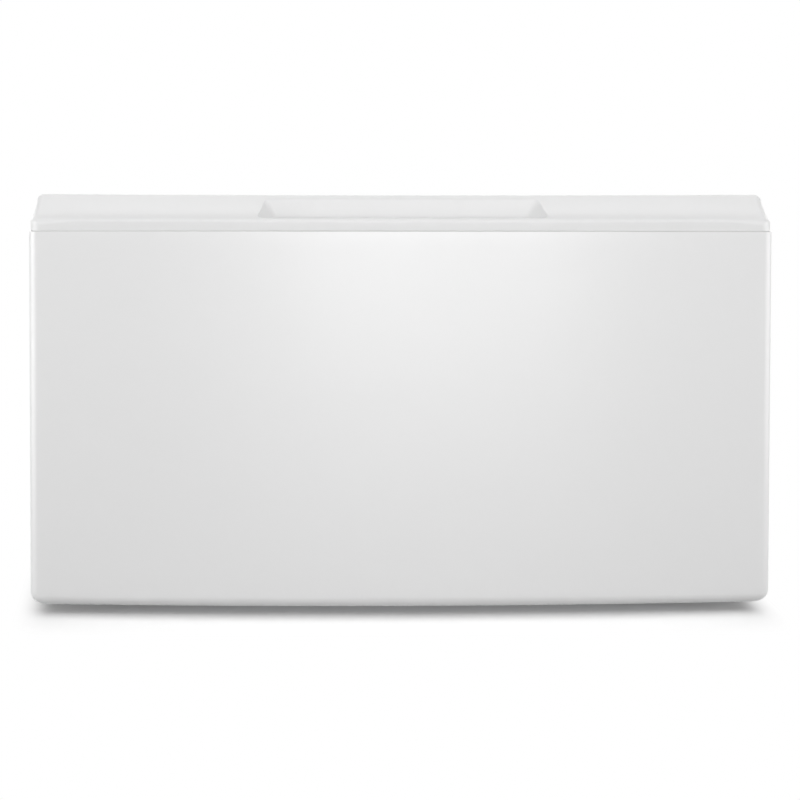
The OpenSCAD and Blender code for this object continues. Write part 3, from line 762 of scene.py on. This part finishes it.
def pocket_point(i, k, offset):
    """Where the outline, grown by offset, takes the grid point (i, k) of the hole's edge."""
    side = -1 if i < 0 else 1
    half = HALF_CORNER_STEPS
    straight = HOLE_COLUMN - half
    front = POCKET_FRONT + POCKET_CORNER_R
    back = POCKET_BACK - POCKET_CORNER_R
    turned = max(0, abs(i) - straight)
    if k - HOLE_LOW <= half:
        turn = (90 + SPLAY_ANGLE) / (2 * half)
        x, d = pocket_corner(front, -90 + turn * (turned + k - HOLE_LOW), offset)
    elif HOLE_HIGH - k <= half:
        turn = (90 - SPLAY_ANGLE) / (2 * half)
        x, d = pocket_corner(back, 90 - turn * (turned + HOLE_HIGH - k), offset)
    else:
        share = (k - HOLE_LOW - half) / (HOLE_HIGH - HOLE_LOW - 2 * half)
        p = pocket_corner(front, SPLAY_ANGLE, offset)
        q = pocket_corner(back, SPLAY_ANGLE, offset)
        x, d = (p[0] + (q[0] - p[0]) * share, p[1] + (q[1] - p[1]) * share)
    x *= RIGHT_X[min(abs(i), straight)] / RIGHT_X[straight]
    return (side * x, d)


def hole_edge():
    """Grid points round the pocket's hole, in order."""
    across = range(-HOLE_COLUMN, HOLE_COLUMN + 1)
    up = range(HOLE_LOW + 1, HOLE_HIGH)
    front = [(i, HOLE_LOW) for i in across]
    back = [(i, HOLE_HIGH) for i in reversed(across)]
    right = [(HOLE_COLUMN, k) for k in up]
    left = [(-HOLE_COLUMN, k) for k in reversed(up)]
    return front + right + back + left


def lean(depth, drop):
    """Depth of a wall point once the back wall leans, where drop runs from 0 at the rim to 1."""
    return depth - WALL_LEAN * drop * (depth - POCKET_FRONT) / (POCKET_BACK - POCKET_FRONT)


def pocket_rings():
    """The pocket's rings from rim to floor, each point as its place across, depth and height."""
    edge = hole_edge()
    rings = []
    for step in range(RIM_STEPS + 1):
        turn = math.radians(90 * step / RIM_STEPS)
        out = RIM_R * (1 - math.sin(turn))
        drop = RIM_R * (1 - math.cos(turn))
        flat = [pocket_point(i, k, out) for i, k in edge]
        rings.append([(x, d, slope_z(d) - drop) for x, d in flat])
    rim = [z for x, d, z in rings[-1]]
    low = POCKET_FLOOR + FLOOR_R
    for share in WALL_SHARES:
        narrow = 1 - END_LEAN * share
        flat = [pocket_point(i, k, -DRAFT * share) for i, k in edge]
        heights = [z + (low - z) * share for z in rim]
        rings.append([(x * narrow, lean(d, share), z) for (x, d), z in zip(flat, heights)])
    narrow = 1 - END_LEAN
    for step in range(1, FLOOR_STEPS + 1):
        turn = math.radians(90 * step / FLOOR_STEPS)
        shrink = DRAFT + FLOOR_R * (1 - math.cos(turn))
        flat = [pocket_point(i, k, -shrink) for i, k in edge]
        z = POCKET_FLOOR + FLOOR_R * (1 - math.sin(turn))
        rings.append([(x * narrow, lean(d, 1.0), z) for x, d in flat])
    return rings


print("pocket:", len(hole_edge()), "points round,", HOLE_HIGH - HOLE_LOW, "levels deep")

# %% [markdown]
# ## Sweeping the trim
#
# Each column of points is the whole section at one place across the bow: up the front, over the top
# edge, down the back and out along the ledge that covers the top of the drawer. Towards the ends the
# crest grows rounder. The last columns turn the end: they move out along a sine while each point
# sinks by its own amount along a cosine, which rounds a different radius at every height. Faces then
# close the two ends.

# %% Make the trim
BACK_TURN = 1.5 * MM
SWELL = 0.8
SWELL_FROM = 300 * MM
BAND_TOP = HOLE_LOW - len(crest_arc) - 1
LEDGE_EDGE = 0.3 * MM
LEDGE_MIN = 0.7 * MM
LEDGE_POINTS = 3
TRIM_WALL = 1.15 * MM


def trim_place(column, z, foot, radius, down):
    """Place across the trim of a section point, and how far the end is turned there, 0 to 1."""
    n = min(abs(column), COLUMNS)
    turn = math.radians(90 * (abs(column) - n) / END_STEPS)
    start = end_x(z - down) - foot - radius
    x = RIGHT_X[n]
    if x > STRETCH_FROM:
        past = x - STRETCH_FROM
        x = STRETCH_FROM + past * (start - STRETCH_FROM) / (RIGHT_X[-1] - STRETCH_FROM)
    side = -1 if column < 0 else 1
    return side * (x + radius * math.sin(turn)), 1 - math.cos(turn)


def depth_y(x, depth):
    """Where a section point is at x. Near the ends the ledge's room squeezes the section."""
    room = LEDGE_BACK - LEDGE_MIN - bow_y(x)
    return bow_y(x) + depth * min(1.0, room / TRIM_DEEP)


def over_seam(x, z):
    """Height of a point z over the seam: the foot hangs with the seam, the top edge is level."""
    return SEAM_Z + z - droop(x) * (1 - z / TRIM_H)


def swell(column, k, d, z):
    """A section point once the crest's radius has grown towards the ends."""
    x = RIGHT_X[min(abs(column), COLUMNS)]
    share = min(1.0, max(0.0, (x - SWELL_FROM) / (RIGHT_X[-1] - SWELL_FROM)))
    ratio = 1 + SWELL * share * share * (3 - 2 * share)
    if k <= BAND_TOP:
        return d, z * (CREST_Z - ratio * CREST_R) / (CREST_Z - CREST_R) if z > FOOT_R else z
    if k < HOLE_LOW:
        return d * ratio, CREST_Z - (CREST_Z - z) * ratio
    t = SLOPE_SHARES[k - HOLE_LOW]
    return d + slope_p[0] * (ratio - 1) * (1 - t) ** 3, z


def trim_column(column):
    """All section points of one column, from the front's foot over the top to the ledge's foot."""
    front, back, top = [], [], []
    for k, (d, z, sink, down, radius) in enumerate(LEVELS):
        d, z = swell(column, k, d, z)
        foot = d - BAND_BACK if z < FOOT_R else 0.0
        x, turned = trim_place(column, z, foot, radius, down)
        high = over_seam(x, z) - down * turned
        front.append((x, depth_y(x, d) + sink * turned, high))
        y = depth_y(x, TRIM_DEEP) if k > LEDGE_LEVELS else LEDGE_BACK
        back.append((x, y - BACK_TURN * turned, high))
    for i, (d, z) in enumerate(top_arc):
        x, turned = trim_place(column, z, 0.0, END_R, TOP_SINK)
        share = i / (len(top_arc) - 1)
        y = depth_y(x, d) - BACK_TURN * turned * share
        top.append((x, y, SEAM_Z + z - TOP_SINK * turned))
    x, turned = trim_place(column, LEDGE_Z, 0.0, UPRIGHT_R, 0.0)
    rear = LEDGE_BACK - BACK_TURN * turned
    root = depth_y(x, TRIM_DEEP) + LEDGE_EDGE - BACK_TURN * turned
    level = over_seam(x, LEDGE_Z)
    ledge = [(x, rear, level - LEDGE_EDGE), (x, rear - LEDGE_EDGE, level), (x, root, level)]
    low = LEDGE_LEVELS + 1
    return front + top + back[: low - 1 : -1] + ledge[::-1] + back[low - 1 :: -1]


def end_faces(first, size):
    """Faces that close the end whose column starts at point first, each level to its partner."""
    levels = len(LEVELS)
    faces = []
    for k in range(levels - 1):
        back_low = size - 1 - k - (LEDGE_POINTS if k > LEDGE_LEVELS else 0)
        back_high = size - 2 - k - (LEDGE_POINTS if k >= LEDGE_LEVELS else 0)
        back = range(back_low, back_high - 1, -1)
        faces.append(tuple(first + j for j in (k + 1, k, *back)))
    faces.append(tuple(first + j for j in range(levels - 1, levels + len(top_arc) + 1)))
    return faces


def sink_pocket(points, faces, edge):
    """Adds the pocket's rings and floor to the points and faces, from the hole's edge down."""
    for ring in pocket_rings():
        fresh = range(len(points), len(points) + len(ring))
        points += [(x, bow_y(x) + d, over_seam(x, z)) for x, d, z in ring]
        for n in range(len(ring)):
            m = (n + 1) % len(ring)
            faces.append((edge[n], edge[m], fresh[m], fresh[n]))
        edge = fresh
    faces.append(tuple(edge))


def make_trim():
    last = COLUMNS + END_STEPS
    columns = [trim_column(c) for c in range(-last, last + 1)]
    size = len(columns[0])
    points = [p for column in columns for p in column]
    faces = []
    for c in range(-last, last):
        for j in range(size - 1):
            if -HOLE_COLUMN <= c < HOLE_COLUMN and HOLE_LOW <= j < HOLE_HIGH:
                continue
            a = (c + last) * size + j
            faces.append((a, a + size, a + size + 1, a + 1))
    faces += end_faces(0, size) + end_faces(2 * last * size, size)
    sink_pocket(points, faces, [(i + last) * size + k for i, k in hole_edge()])
    node = "drawer_front_trim"
    make_piece("finger_trim", points, faces, "drawer", "white_plastic", [node], TRIM_WALL)


make_trim()

# %% [markdown]
# ## Pressed plates
#
# The deck, the drawer's bottom and the cabinet's back are flat sheets with shapes pressed into them:
# dimples for the appliance's feet, and ribs that keep a sheet from drumming. A press can't make a
# sharp step, so each shape goes down on a smooth ramp, as a set of loops that lie one inside the
# other. The flat part between the shapes is triangulated last, with the shapes left out.


# %% Shapes in a plate
RAMP_STEPS = 8
QUARTER_STEPS = 9
INSIDE_ONLY = 1
SAME_POINT = 1e-7


def rounded_loop(centre, half_u, half_v, radius):
    """A rounded rectangle as a loop of points, or a circle where both halves equal the radius."""
    points = []
    for quarter, (su, sv) in enumerate(((1, 1), (-1, 1), (-1, -1), (1, -1))):
        corner = (centre[0] + su * (half_u - radius), centre[1] + sv * (half_v - radius))
        points += arc(corner, radius, 90 * quarter, 90 * quarter + 90, QUARTER_STEPS)
    return points


def pressing(centre, half_u, half_v, radius, depth, run, extra=()):
    """Loops of a pressed shape. extra adds loops, as (inset, depth) from the shape's own edge."""
    ramp = []
    for i in range(RAMP_STEPS + 1):
        share = i / RAMP_STEPS
        ramp.append((run * share, depth * (1 - math.cos(math.pi * share)) / 2))
    loops = []
    for inset, low in ramp + list(extra):
        flat = rounded_loop(centre, half_u - inset, half_v - inset, radius - inset)
        loops.append([(u, v, -low) for u, v in flat])
    return loops


def plate_mesh(outline, shapes, holes, place):
    """Points and faces of a plate. place turns (u, v, height) into a point."""
    points = [(u, v, 0.0) for u, v in outline]
    loops = [list(range(len(outline)))]
    for shape in shapes:
        loops.append(list(range(len(points), len(points) + len(shape[0]))))
        points += shape[0]
    corners = [Vector(p[:2]) for p in points]
    found = delaunay_2d_cdt(corners, [], loops, INSIDE_ONLY, SAME_POINT)
    _, _, triangles, sources, _, inside = found
    faces = [
        tuple(sources[i][0] for i in tri) for tri, where in zip(triangles, inside) if where == [0]
    ]
    for shape, before in zip(shapes, loops[1:]):
        for loop in shape[1:]:
            after = range(len(points), len(points) + len(loop))
            points += loop
            for n in range(len(loop)):
                m = (n + 1) % len(loop)
                faces.append((before[n], before[m], after[m], after[n]))
            before = after
        if not holes:
            faces.append(tuple(before))
    return [place(*p) for p in points], faces


# %% [markdown]
# ## The deck, the drawer's bottom and the back
#
# The deck has a dimple for each foot of the appliance, 3 mm deep, with a bolt hole whose edge is
# drawn down a little. Its front edge is folded down behind the trim. The ribs of the drawer's bottom
# stand up into the drawer, and those of the back are pressed inwards.

# %% The deck
DECK_SHEET = 1.2 * MM
DECK_FOLD_R = 2 * MM
DECK_FOLD_HALF = 321 * MM
DIMPLE_X = 292 * MM
DIMPLE_Y = 235 * MM
DIMPLE_MIDDLE_Y = 48.8 * MM
DIMPLE_R = 35.5 * MM
DIMPLE_DEEP = 3 * MM
DIMPLE_RUN = 3 * MM
BOLT_R = 5.5 * MM
BOLT_FIELD_R = 9 * MM
BOLT_EDGE = 0.7 * MM
BOLT_EDGE_START = 0.2 * MM
FLAT_CRISP = 30.0
UP = Vector((0, 0, 1))


def dimple(x, y):
    """Loops of a dimple: its ramp, its flat floor, and the drawn edge of the bolt hole."""
    hole = DIMPLE_R - BOLT_R
    plunge = [
        (DIMPLE_R - BOLT_FIELD_R, DIMPLE_DEEP),
        (hole - BOLT_EDGE, DIMPLE_DEEP),
        (hole - BOLT_EDGE_START, DIMPLE_DEEP + BOLT_EDGE_START),
        (hole, DIMPLE_DEEP + BOLT_EDGE),
    ]
    return pressing((x, y), DIMPLE_R, DIMPLE_R, DIMPLE_R, DIMPLE_DEEP, DIMPLE_RUN, plunge)


def make_deck():
    low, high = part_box("deck")
    fold_y = low.y + DECK_FOLD_R
    half = DECK_FOLD_HALF
    outline = [(low.x, low.y), (-half, low.y), (-half, fold_y), (half, fold_y)]
    outline += [(half, low.y), (high.x, low.y), (high.x, high.y), (low.x, high.y)]
    rows = (DIMPLE_MIDDLE_Y - DIMPLE_Y, DIMPLE_MIDDLE_Y + DIMPLE_Y)
    shapes = [dimple(x, y) for x in (-DIMPLE_X, DIMPLE_X) for y in rows]
    points, faces = plate_mesh(outline, shapes, True, lambda u, v, h: (u, v, high.z + h))
    fold = arc((fold_y, high.z - DECK_FOLD_R), DECK_FOLD_R, 90, 180, FOLD_STEPS)
    fold.append((low.y, low.z))
    n = len(fold)
    start = len(points)
    for x in (-half, half):
        points += [(x, y, z) for y, z in fold]
    faces += [(start + i, start + i + 1, start + n + i + 1, start + n + i) for i in range(n - 1)]
    make_piece(
        "pressed_deck", points, faces, "cabinet", "enamel", ["deck"], DECK_SHEET, FLAT_CRISP, UP
    )


# %% The drawer's bottom and the back
RIBS = range(-2, 3)
BACK_SHEET = 1 * MM
OUTWARD = Vector((0, 1, 0))


def ribbed_sheet(low, high, pitch, half_w, margin, depth, run, place):
    """A sheet between two corners (u, v), with ribs side by side that end at a margin."""
    outline = [low, (high[0], low[1]), high, (low[0], high[1])]
    middle = (low[1] + high[1]) / 2
    half = (high[1] - low[1]) / 2 - margin
    shapes = [pressing((pitch * i, middle), half_w, half, half_w, depth, run) for i in RIBS]
    return plate_mesh(outline, shapes, False, place)


def make_bottom():
    low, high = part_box("drawer_bottom")
    top = low.z + SHEET_T
    points, faces = ribbed_sheet(
        (low.x, low.y),
        (high.x, high.y),
        pitch=105 * MM,
        half_w=8 * MM,
        margin=39 * MM,
        depth=top - high.z,
        run=4 * MM,
        place=lambda u, v, h: (u, v, top + h),
    )
    node = "drawer_bottom"
    make_piece(
        "ribbed_bottom", points, faces, "drawer", "enamel", [node], SHEET_T, FLAT_CRISP, UP
    )


def make_back():
    low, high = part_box("cabinet_back")
    points, faces = ribbed_sheet(
        (low.x, low.z),
        (high.x, high.z),
        pitch=110 * MM,
        half_w=9 * MM,
        margin=41 * MM,
        depth=2 * MM,
        run=5 * MM,
        place=lambda u, v, h: (u, high.y + h, v),
    )
    node = "cabinet_back"
    make_piece(
        "ribbed_back", points, faces, "cabinet", "zinc_steel", [node], BACK_SHEET, FLAT_CRISP, OUTWARD
    )


make_deck()
make_bottom()
make_back()

# %% [markdown]
# ## The levelling feet
#
# Each foot is a threaded stud with a hexagon for the spanner. The thread is a strip that winds up the
# stud: its section climbs from the root to the flat crest and back within one pitch, and its height
# fades out over the last turn at both ends, as a rolled thread does.

# %% The levelling feet
THREAD_PITCH = 1.5 * MM
THREAD_STEPS = 24
THREAD_STOP = 1.0 * MM
# One pitch of the thread, as shares of the pitch and of the thread's height.
THREAD_SECTION = [(0.0, 0.0), (0.42, 1.0), (0.58, 1.0), (1.0, 0.0)]
STUD_R = 4.95 * MM
STUD_CHAMFER = 0.8 * MM
ROOT_R = 4.15 * MM
HEX_SIDES = 6
HEX_R = 9.2 * MM
HEX_LOW = 8 * MM
HEX_HIGH = 14 * MM
HEX_CHAMFER = 0.5 * MM
FOOT_CRISP = 30.0


def lathe(profile, steps, start, place):
    """Points and faces of a turned shape, numbered from start.

    The profile's rows are (radius, height), where a radius may also be a function of the angle.
    place turns (u, v, height) into a point.
    """
    points, faces = [], []
    for radius, height in profile:
        for s in range(steps):
            a = 2 * math.pi * s / steps
            r = radius(a) if callable(radius) else radius
            points.append(place(r * math.cos(a), r * math.sin(a), height))
    for a in range(start, start + (len(profile) - 1) * steps, steps):
        b = a + steps
        for s in range(steps):
            n = (s + 1) % steps
            faces.append((a + s, a + n, b + n, b + s))
    last = start + (len(profile) - 1) * steps
    faces.append(tuple(range(start, start + steps)))
    faces.append(tuple(range(last, last + steps)))
    return points, faces


def thread(start, top, place):
    """Points and faces of the thread, numbered from start, from the hexagon to just under top."""
    points, faces = [], []
    length = top - THREAD_STOP - HEX_HIGH + THREAD_PITCH
    rows = int((length / THREAD_PITCH - 1) * THREAD_STEPS)
    for row in range(rows + 1):
        a = 2 * math.pi * row / THREAD_STEPS
        fade = min(1.0, row / THREAD_STEPS, (rows - row) / THREAD_STEPS)
        for share, rise in THREAD_SECTION:
            r = ROOT_R + (STUD_R - ROOT_R) * rise * fade
            z = HEX_HIGH - THREAD_PITCH + THREAD_PITCH * (row / THREAD_STEPS + share)
            points.append(place(r * math.cos(a), r * math.sin(a), z))
    size = len(THREAD_SECTION)
    for row in range(rows):
        first = start + row * size
        faces += [(a, a + size, a + size + 1, a + 1) for a in range(first, first + size - 1)]
    return points, faces


def joined(shape, other):
    """Two shapes, each as points and faces, as one."""
    return shape[0] + other[0], shape[1] + other[1]


def make_foot(name):
    low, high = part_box(name)
    middle = (low + high) / 2

    def place(u, v, height):
        return (middle.x + u, middle.y + v, height)

    hexagon = [(HEX_R - HEX_CHAMFER, HEX_LOW), (HEX_R, HEX_LOW + HEX_CHAMFER)]
    hexagon += [(HEX_R, HEX_HIGH - HEX_CHAMFER), (HEX_R - HEX_CHAMFER, HEX_HIGH)]
    core = [(ROOT_R, low.z), (ROOT_R, high.z - STUD_CHAMFER), (ROOT_R - STUD_CHAMFER, high.z)]
    foot = lathe(hexagon, HEX_SIDES, 0, place)
    foot = joined(foot, lathe(core, THREAD_STEPS, len(foot[0]), place))
    foot = joined(foot, thread(len(foot[0]), high.z, place))
    body = name.replace("levelling_", "")
    make_piece("threaded_" + body, *foot, body, "fastener_steel", [name], 0.0, FOOT_CRISP)


for end_name in ("front", "rear"):
    for side_name in ("left", "right"):
        make_foot(f"levelling_foot_{end_name}_{side_name}")

# %% [markdown]
# ## Screws and rivets
#
# The frame holds each screw as a shank and a plain head. Here each one is found in its node as a
# separate lump, measured along its own axis, and turned again with a domed head. A screw's head gets
# a cross recess: near the middle the rows of points stop being circles and follow the cross.


# %% Find and measure the fasteners
HEAD_WITHIN = 0.05 * MM
LEVEL_WITHIN = 0.01 * MM
LEAST_SHANK_R = 0.5 * MM


def lumps(node):
    """The separate lumps of a node in the order of its points, each as a list of its points."""
    build = bmesh.new()
    build.from_mesh(NODES[node].data)
    build.transform(NODES[node].matrix_world)
    bmesh.ops.remove_doubles(build, verts=build.verts, dist=WELD_WITHIN)
    left = set(build.verts)
    found = []
    for seed in build.verts:
        if seed not in left:
            continue
        left.remove(seed)
        lump, edge = set(), [seed]
        while edge:
            corner = edge.pop()
            lump.add(corner)
            near = {e.other_vert(corner) for e in corner.link_edges} & left
            left -= near
            edge += near
        found.append([v.co.copy() for v in lump])
    build.free()
    return found


def measure_fastener(points):
    """Axis, direction, seat, head radius, head height, shank radius and shank length of one."""
    low = Vector([min(p[i] for p in points) for i in range(3)])
    high = Vector([max(p[i] for p in points) for i in range(3)])
    size = high - low
    odd = max(range(3), key=lambda i: min(abs(size[i] - size[j]) for j in range(3) if j != i))
    side = [i for i in range(3) if i != odd]
    middle = (low + high) / 2

    def radius(p):
        return math.dist([p[i] for i in side], [middle[i] for i in side])

    head_r = max(radius(p) for p in points)
    head = [p[odd] for p in points if radius(p) > head_r - HEAD_WITHIN]
    out = 1.0 if max(head) > high[odd] - LEVEL_WITHIN else -1.0
    height = max(head) - min(head)
    shank_r = min(r for r in (radius(p) for p in points) if r > LEAST_SHANK_R)
    seat = middle.copy()
    seat[odd] = min(head) if out > 0 else max(head)
    return odd, out, seat, head_r, height, shank_r, size[odd] - height


# %% Turn the fasteners
FASTENER_STEPS = 24
FASTENER_CRISP = 35.0
TIP_SHARE = 0.6
TIP_LENGTH = 0.6 * MM
# Rows from the seat up, as shares of the head's radius and of its height.
RIVET_HEAD = [(1, 0), (1, 0.2), (0.92, 0.55), (0.75, 0.82), (0.5, 0.95), (0.2, 1.0)]
SCREW_HEAD = [(0.96, 0), (1, 0.12), (1, 0.45), (0.93, 0.78), (0.78, 0.95), (0.62, 1.0)]
CROSS_RECESS = [(1, 1), (0.94, 0.92), (0.6, 0.35)]
ARM_LENGTH = 0.5
ARM_HALF_W = 0.13
LEAST_SINE = 0.05


def cross(size):
    """Radius of a cross, as a function of the angle."""

    def radius(a):
        off = abs((a + math.pi / 4) % (math.pi / 2) - math.pi / 4)
        return size * min(ARM_LENGTH, ARM_HALF_W / max(math.sin(off), LEAST_SINE))

    return radius


def head_profile(r, height, recessed):
    """Rows of a head from its seat up, with a cross recess or a plain dome."""
    if not recessed:
        return [(r * across, height * up) for across, up in RIVET_HEAD]
    rows = [(r * across, height * up) for across, up in SCREW_HEAD]
    return rows + [(cross(across * r), up * height) for across, up in CROSS_RECESS]


def make_fasteners(node, recessed):
    turned = ([], [])
    for lump in lumps(node):
        odd, out, seat, head_r, height, shank_r, length = measure_fastener(lump)
        side = [i for i in range(3) if i != odd]

        def place(u, v, up):
            p = seat.copy()
            p[side[0]] += u
            p[side[1]] += v
            p[odd] += out * up
            return tuple(p)

        shank = [(TIP_SHARE * shank_r, -length), (shank_r, -length + TIP_LENGTH), (shank_r, 0.0)]
        rows = shank + head_profile(head_r, height, recessed)
        turned = joined(turned, lathe(rows, FASTENER_STEPS, len(turned[0]), place))
    body = body_of(NODES[node])[0]
    make_piece("turned_" + node, *turned, body, "fastener_steel", [node], 0.0, FASTENER_CRISP)


SCREWS = ["trim_screws", "front_panel_screws", "slide_screws_drawer", "slide_screws_cabinet"]
for node_name in SCREWS + ["back_screws", "rail_screws"]:
    make_fasteners(node_name, True)
for node_name in ("drawer_rivets", "bracket_rivets"):
    make_fasteners(node_name, False)

# %% [markdown]
# ## Floor, backdrop and light
#
# The object stands on a white floor in front of nothing. Only what the camera, a mirror or a glass
# sees of the floor and the world is white: the light that they throw on the object is kept lower and
# separate. The floor still darkens where little light reaches it, so the soft shadow in the gap
# under the drawer stays. Past the object's outline its colour turns into the plain white of the
# backdrop, which starts a little inside the two ends and goes quicker there than at the front.

# %% Floor and world
FLOOR_SIZE = 12.0
FLOOR_GREY = 0.55
SHADOW_FADE = 0.11
SHADOW_END = HALF_W - 20 * MM
END_RATE = 3.0
FLOOR_LIFT = 1.15
FLOOR_GLOW = 0.13
FILL = 0.05


def seen_directly(tree):
    """A value that is 1 for what the camera, a reflection or a clear piece sees, and 0 otherwise."""
    path = add_node(tree, "ShaderNodeLightPath")
    first = add_node(tree, "ShaderNodeMath", operation="MAXIMUM")
    both = add_node(tree, "ShaderNodeMath", operation="MAXIMUM")
    tree.links.new(path.outputs["Is Camera Ray"], first.inputs[0])
    tree.links.new(path.outputs["Is Glossy Ray"], first.inputs[1])
    tree.links.new(first.outputs["Value"], both.inputs[0])
    tree.links.new(path.outputs["Is Transmission Ray"], both.inputs[1])
    return both.outputs["Value"]


def past_shadow(tree):
    """A value that rises from 0 where the floor shows its shadow to 1 where it is plain white."""
    place = add_node(tree, "ShaderNodeTexCoord")
    mirrored = add_node(tree, "ShaderNodeVectorMath", operation="ABSOLUTE")
    footprint = {1: (SHADOW_END, -FRONT_Y, 0)}
    past = add_node(tree, "ShaderNodeVectorMath", footprint, operation="SUBTRACT")
    outside = add_node(tree, "ShaderNodeVectorMath", operation="MAXIMUM")
    quicker = add_node(tree, "ShaderNodeVectorMath", {1: (END_RATE, 1, 1)}, operation="MULTIPLY")
    away = add_node(tree, "ShaderNodeVectorMath", operation="LENGTH")
    reach = {"From Max": SHADOW_FADE}
    fade = add_node(tree, "ShaderNodeMapRange", reach, interpolation_type="SMOOTHSTEP")
    link = tree.links.new
    link(place.outputs["Object"], mirrored.inputs[0])
    link(mirrored.outputs["Vector"], past.inputs[0])
    link(past.outputs["Vector"], outside.inputs[0])
    link(outside.outputs["Vector"], quicker.inputs[0])
    link(quicker.outputs["Vector"], away.inputs[0])
    link(away.outputs["Value"], fade.inputs["Value"])
    return fade.outputs["Result"]


def floor_finish():
    material = bpy.data.materials.new("floor")
    material.use_nodes = True
    tree = material.node_tree
    tree.nodes.clear()
    out = add_node(tree, "ShaderNodeOutputMaterial")
    plain = add_node(tree, "ShaderNodeBsdfDiffuse", {"Color": grey(FLOOR_GREY)})
    lifted = add_node(tree, "ShaderNodeBsdfDiffuse", {"Color": grey(FLOOR_LIFT)})
    glow = add_node(tree, "ShaderNodeEmission", {"Strength": FLOOR_GLOW})
    near = add_node(tree, "ShaderNodeAddShader")
    white = add_node(tree, "ShaderNodeEmission", {"Strength": 1.0})
    shown = add_node(tree, "ShaderNodeMixShader")
    final = add_node(tree, "ShaderNodeMixShader")
    link = tree.links.new
    link(lifted.outputs["BSDF"], near.inputs[0])
    link(glow.outputs["Emission"], near.inputs[1])
    link(past_shadow(tree), shown.inputs["Fac"])
    link(near.outputs["Shader"], shown.inputs[1])
    link(white.outputs["Emission"], shown.inputs[2])
    link(seen_directly(tree), final.inputs["Fac"])
    link(plain.outputs["BSDF"], final.inputs[1])
    link(shown.outputs["Shader"], final.inputs[2])
    link(final.outputs["Shader"], out.inputs["Surface"])
    return material


def make_floor():
    half = FLOOR_SIZE / 2
    mesh = bpy.data.meshes.new("floor")
    corners = [(-half, -half, 0), (half, -half, 0), (half, half, 0), (-half, half, 0)]
    mesh.from_pydata(corners, [], [(0, 1, 2, 3)])
    mesh.materials.append(floor_finish())
    floor = bpy.data.objects.new("floor", mesh)
    scene.collection.objects.link(floor)
    return floor


def make_world():
    world = bpy.data.worlds.new("studio")
    world.use_nodes = True
    scene.world = world
    tree = world.node_tree
    ground = tree.nodes["Background"]
    fill = add_node(tree, "ShaderNodeMapRange", {"To Min": FILL, "To Max": 1.0})
    tree.links.new(seen_directly(tree), fill.inputs["Value"])
    tree.links.new(fill.outputs["Result"], ground.inputs["Strength"])
    ground.inputs["Color"].default_value = grey(1.0)


floor = make_floor()
make_world()

# %% [markdown]
# ## The lamps
#
# One softbox stands in front of the drawer just above the trim and makes the glow in the upper
# middle of the bowed face that fades towards its sides and its foot. A larger one hangs high in
# front and gives the face its even light. Lamps at both sides draw the bright line down each upright
# edge. Wide soft lamps above and behind light the deck, the sides and the back evenly. A low lamp in
# front reaches only the floor, so the shadow stays under the drawer, and the side lamps leave the
# floor out, so they don't light it through under the drawer's ends.

# %% Lamps
LEFT_END = (-HALF_W, -0.3, 0.2)
RIGHT_END = (HALF_W, -0.3, 0.2)
LAMPS = {
    "glow_box": {
        "at": (0.14, -2.1, 0.43),
        "to": (0.03, FRONT_Y, 0.36),
        "size": (0.9, 0.55),
        "watts": 7.0,
    },
    "high_box": {
        "at": (0, -1.9, 1.6),
        "to": (0, FRONT_Y, 0.3),
        "size": (3.0, 1.6),
        "watts": 16.7,
    },
    "side_left": {"at": (-1.4, -0.5, 0.42), "to": LEFT_END, "size": (1.2, 0.8), "watts": 7.4},
    "side_right": {"at": (1.4, -0.5, 0.42), "to": RIGHT_END, "size": (1.2, 0.8), "watts": 5.8},
    "above": {"at": (0, 0.1, 1.9), "to": (0, 0, 0), "size": (1.6, 1.6), "watts": 9.0},
    "behind": {"at": (0, 2.2, 1.0), "to": (0, 0.3, 0.2), "size": (2.8, 1.6), "watts": 8.0},
    "floor_box": {
        "at": (0, -1.9, 0.5),
        "to": (0, FRONT_Y, 0),
        "size": (3.0, 0.6),
        "watts": 20.0,
    },
}
FLOOR_LINK = {"side_left": "EXCLUDE", "side_right": "EXCLUDE", "floor_box": "INCLUDE"}


def make_lamp(name, spec):
    lamp = bpy.data.lights.new(name, "AREA")
    lamp.shape = "RECTANGLE"
    lamp.size, lamp.size_y = spec["size"]
    lamp.energy = spec["watts"]
    holder = bpy.data.objects.new(name, lamp)
    holder.location = spec["at"]
    aim = Vector(spec["to"]) - Vector(spec["at"])
    holder.rotation_euler = aim.to_track_quat("-Z", "Y").to_euler()
    holder.visible_camera = False
    scene.collection.objects.link(holder)
    if name in FLOOR_LINK:
        linked = bpy.data.collections.new(name + " floor link")
        linked.objects.link(floor)
        linked.collection_objects[0].light_linking.link_state = FLOOR_LINK[name]
        holder.light_linking.receiver_collection = linked


for lamp_name, lamp_spec in LAMPS.items():
    make_lamp(lamp_name, lamp_spec)
print("lamps:", ", ".join(LAMPS))
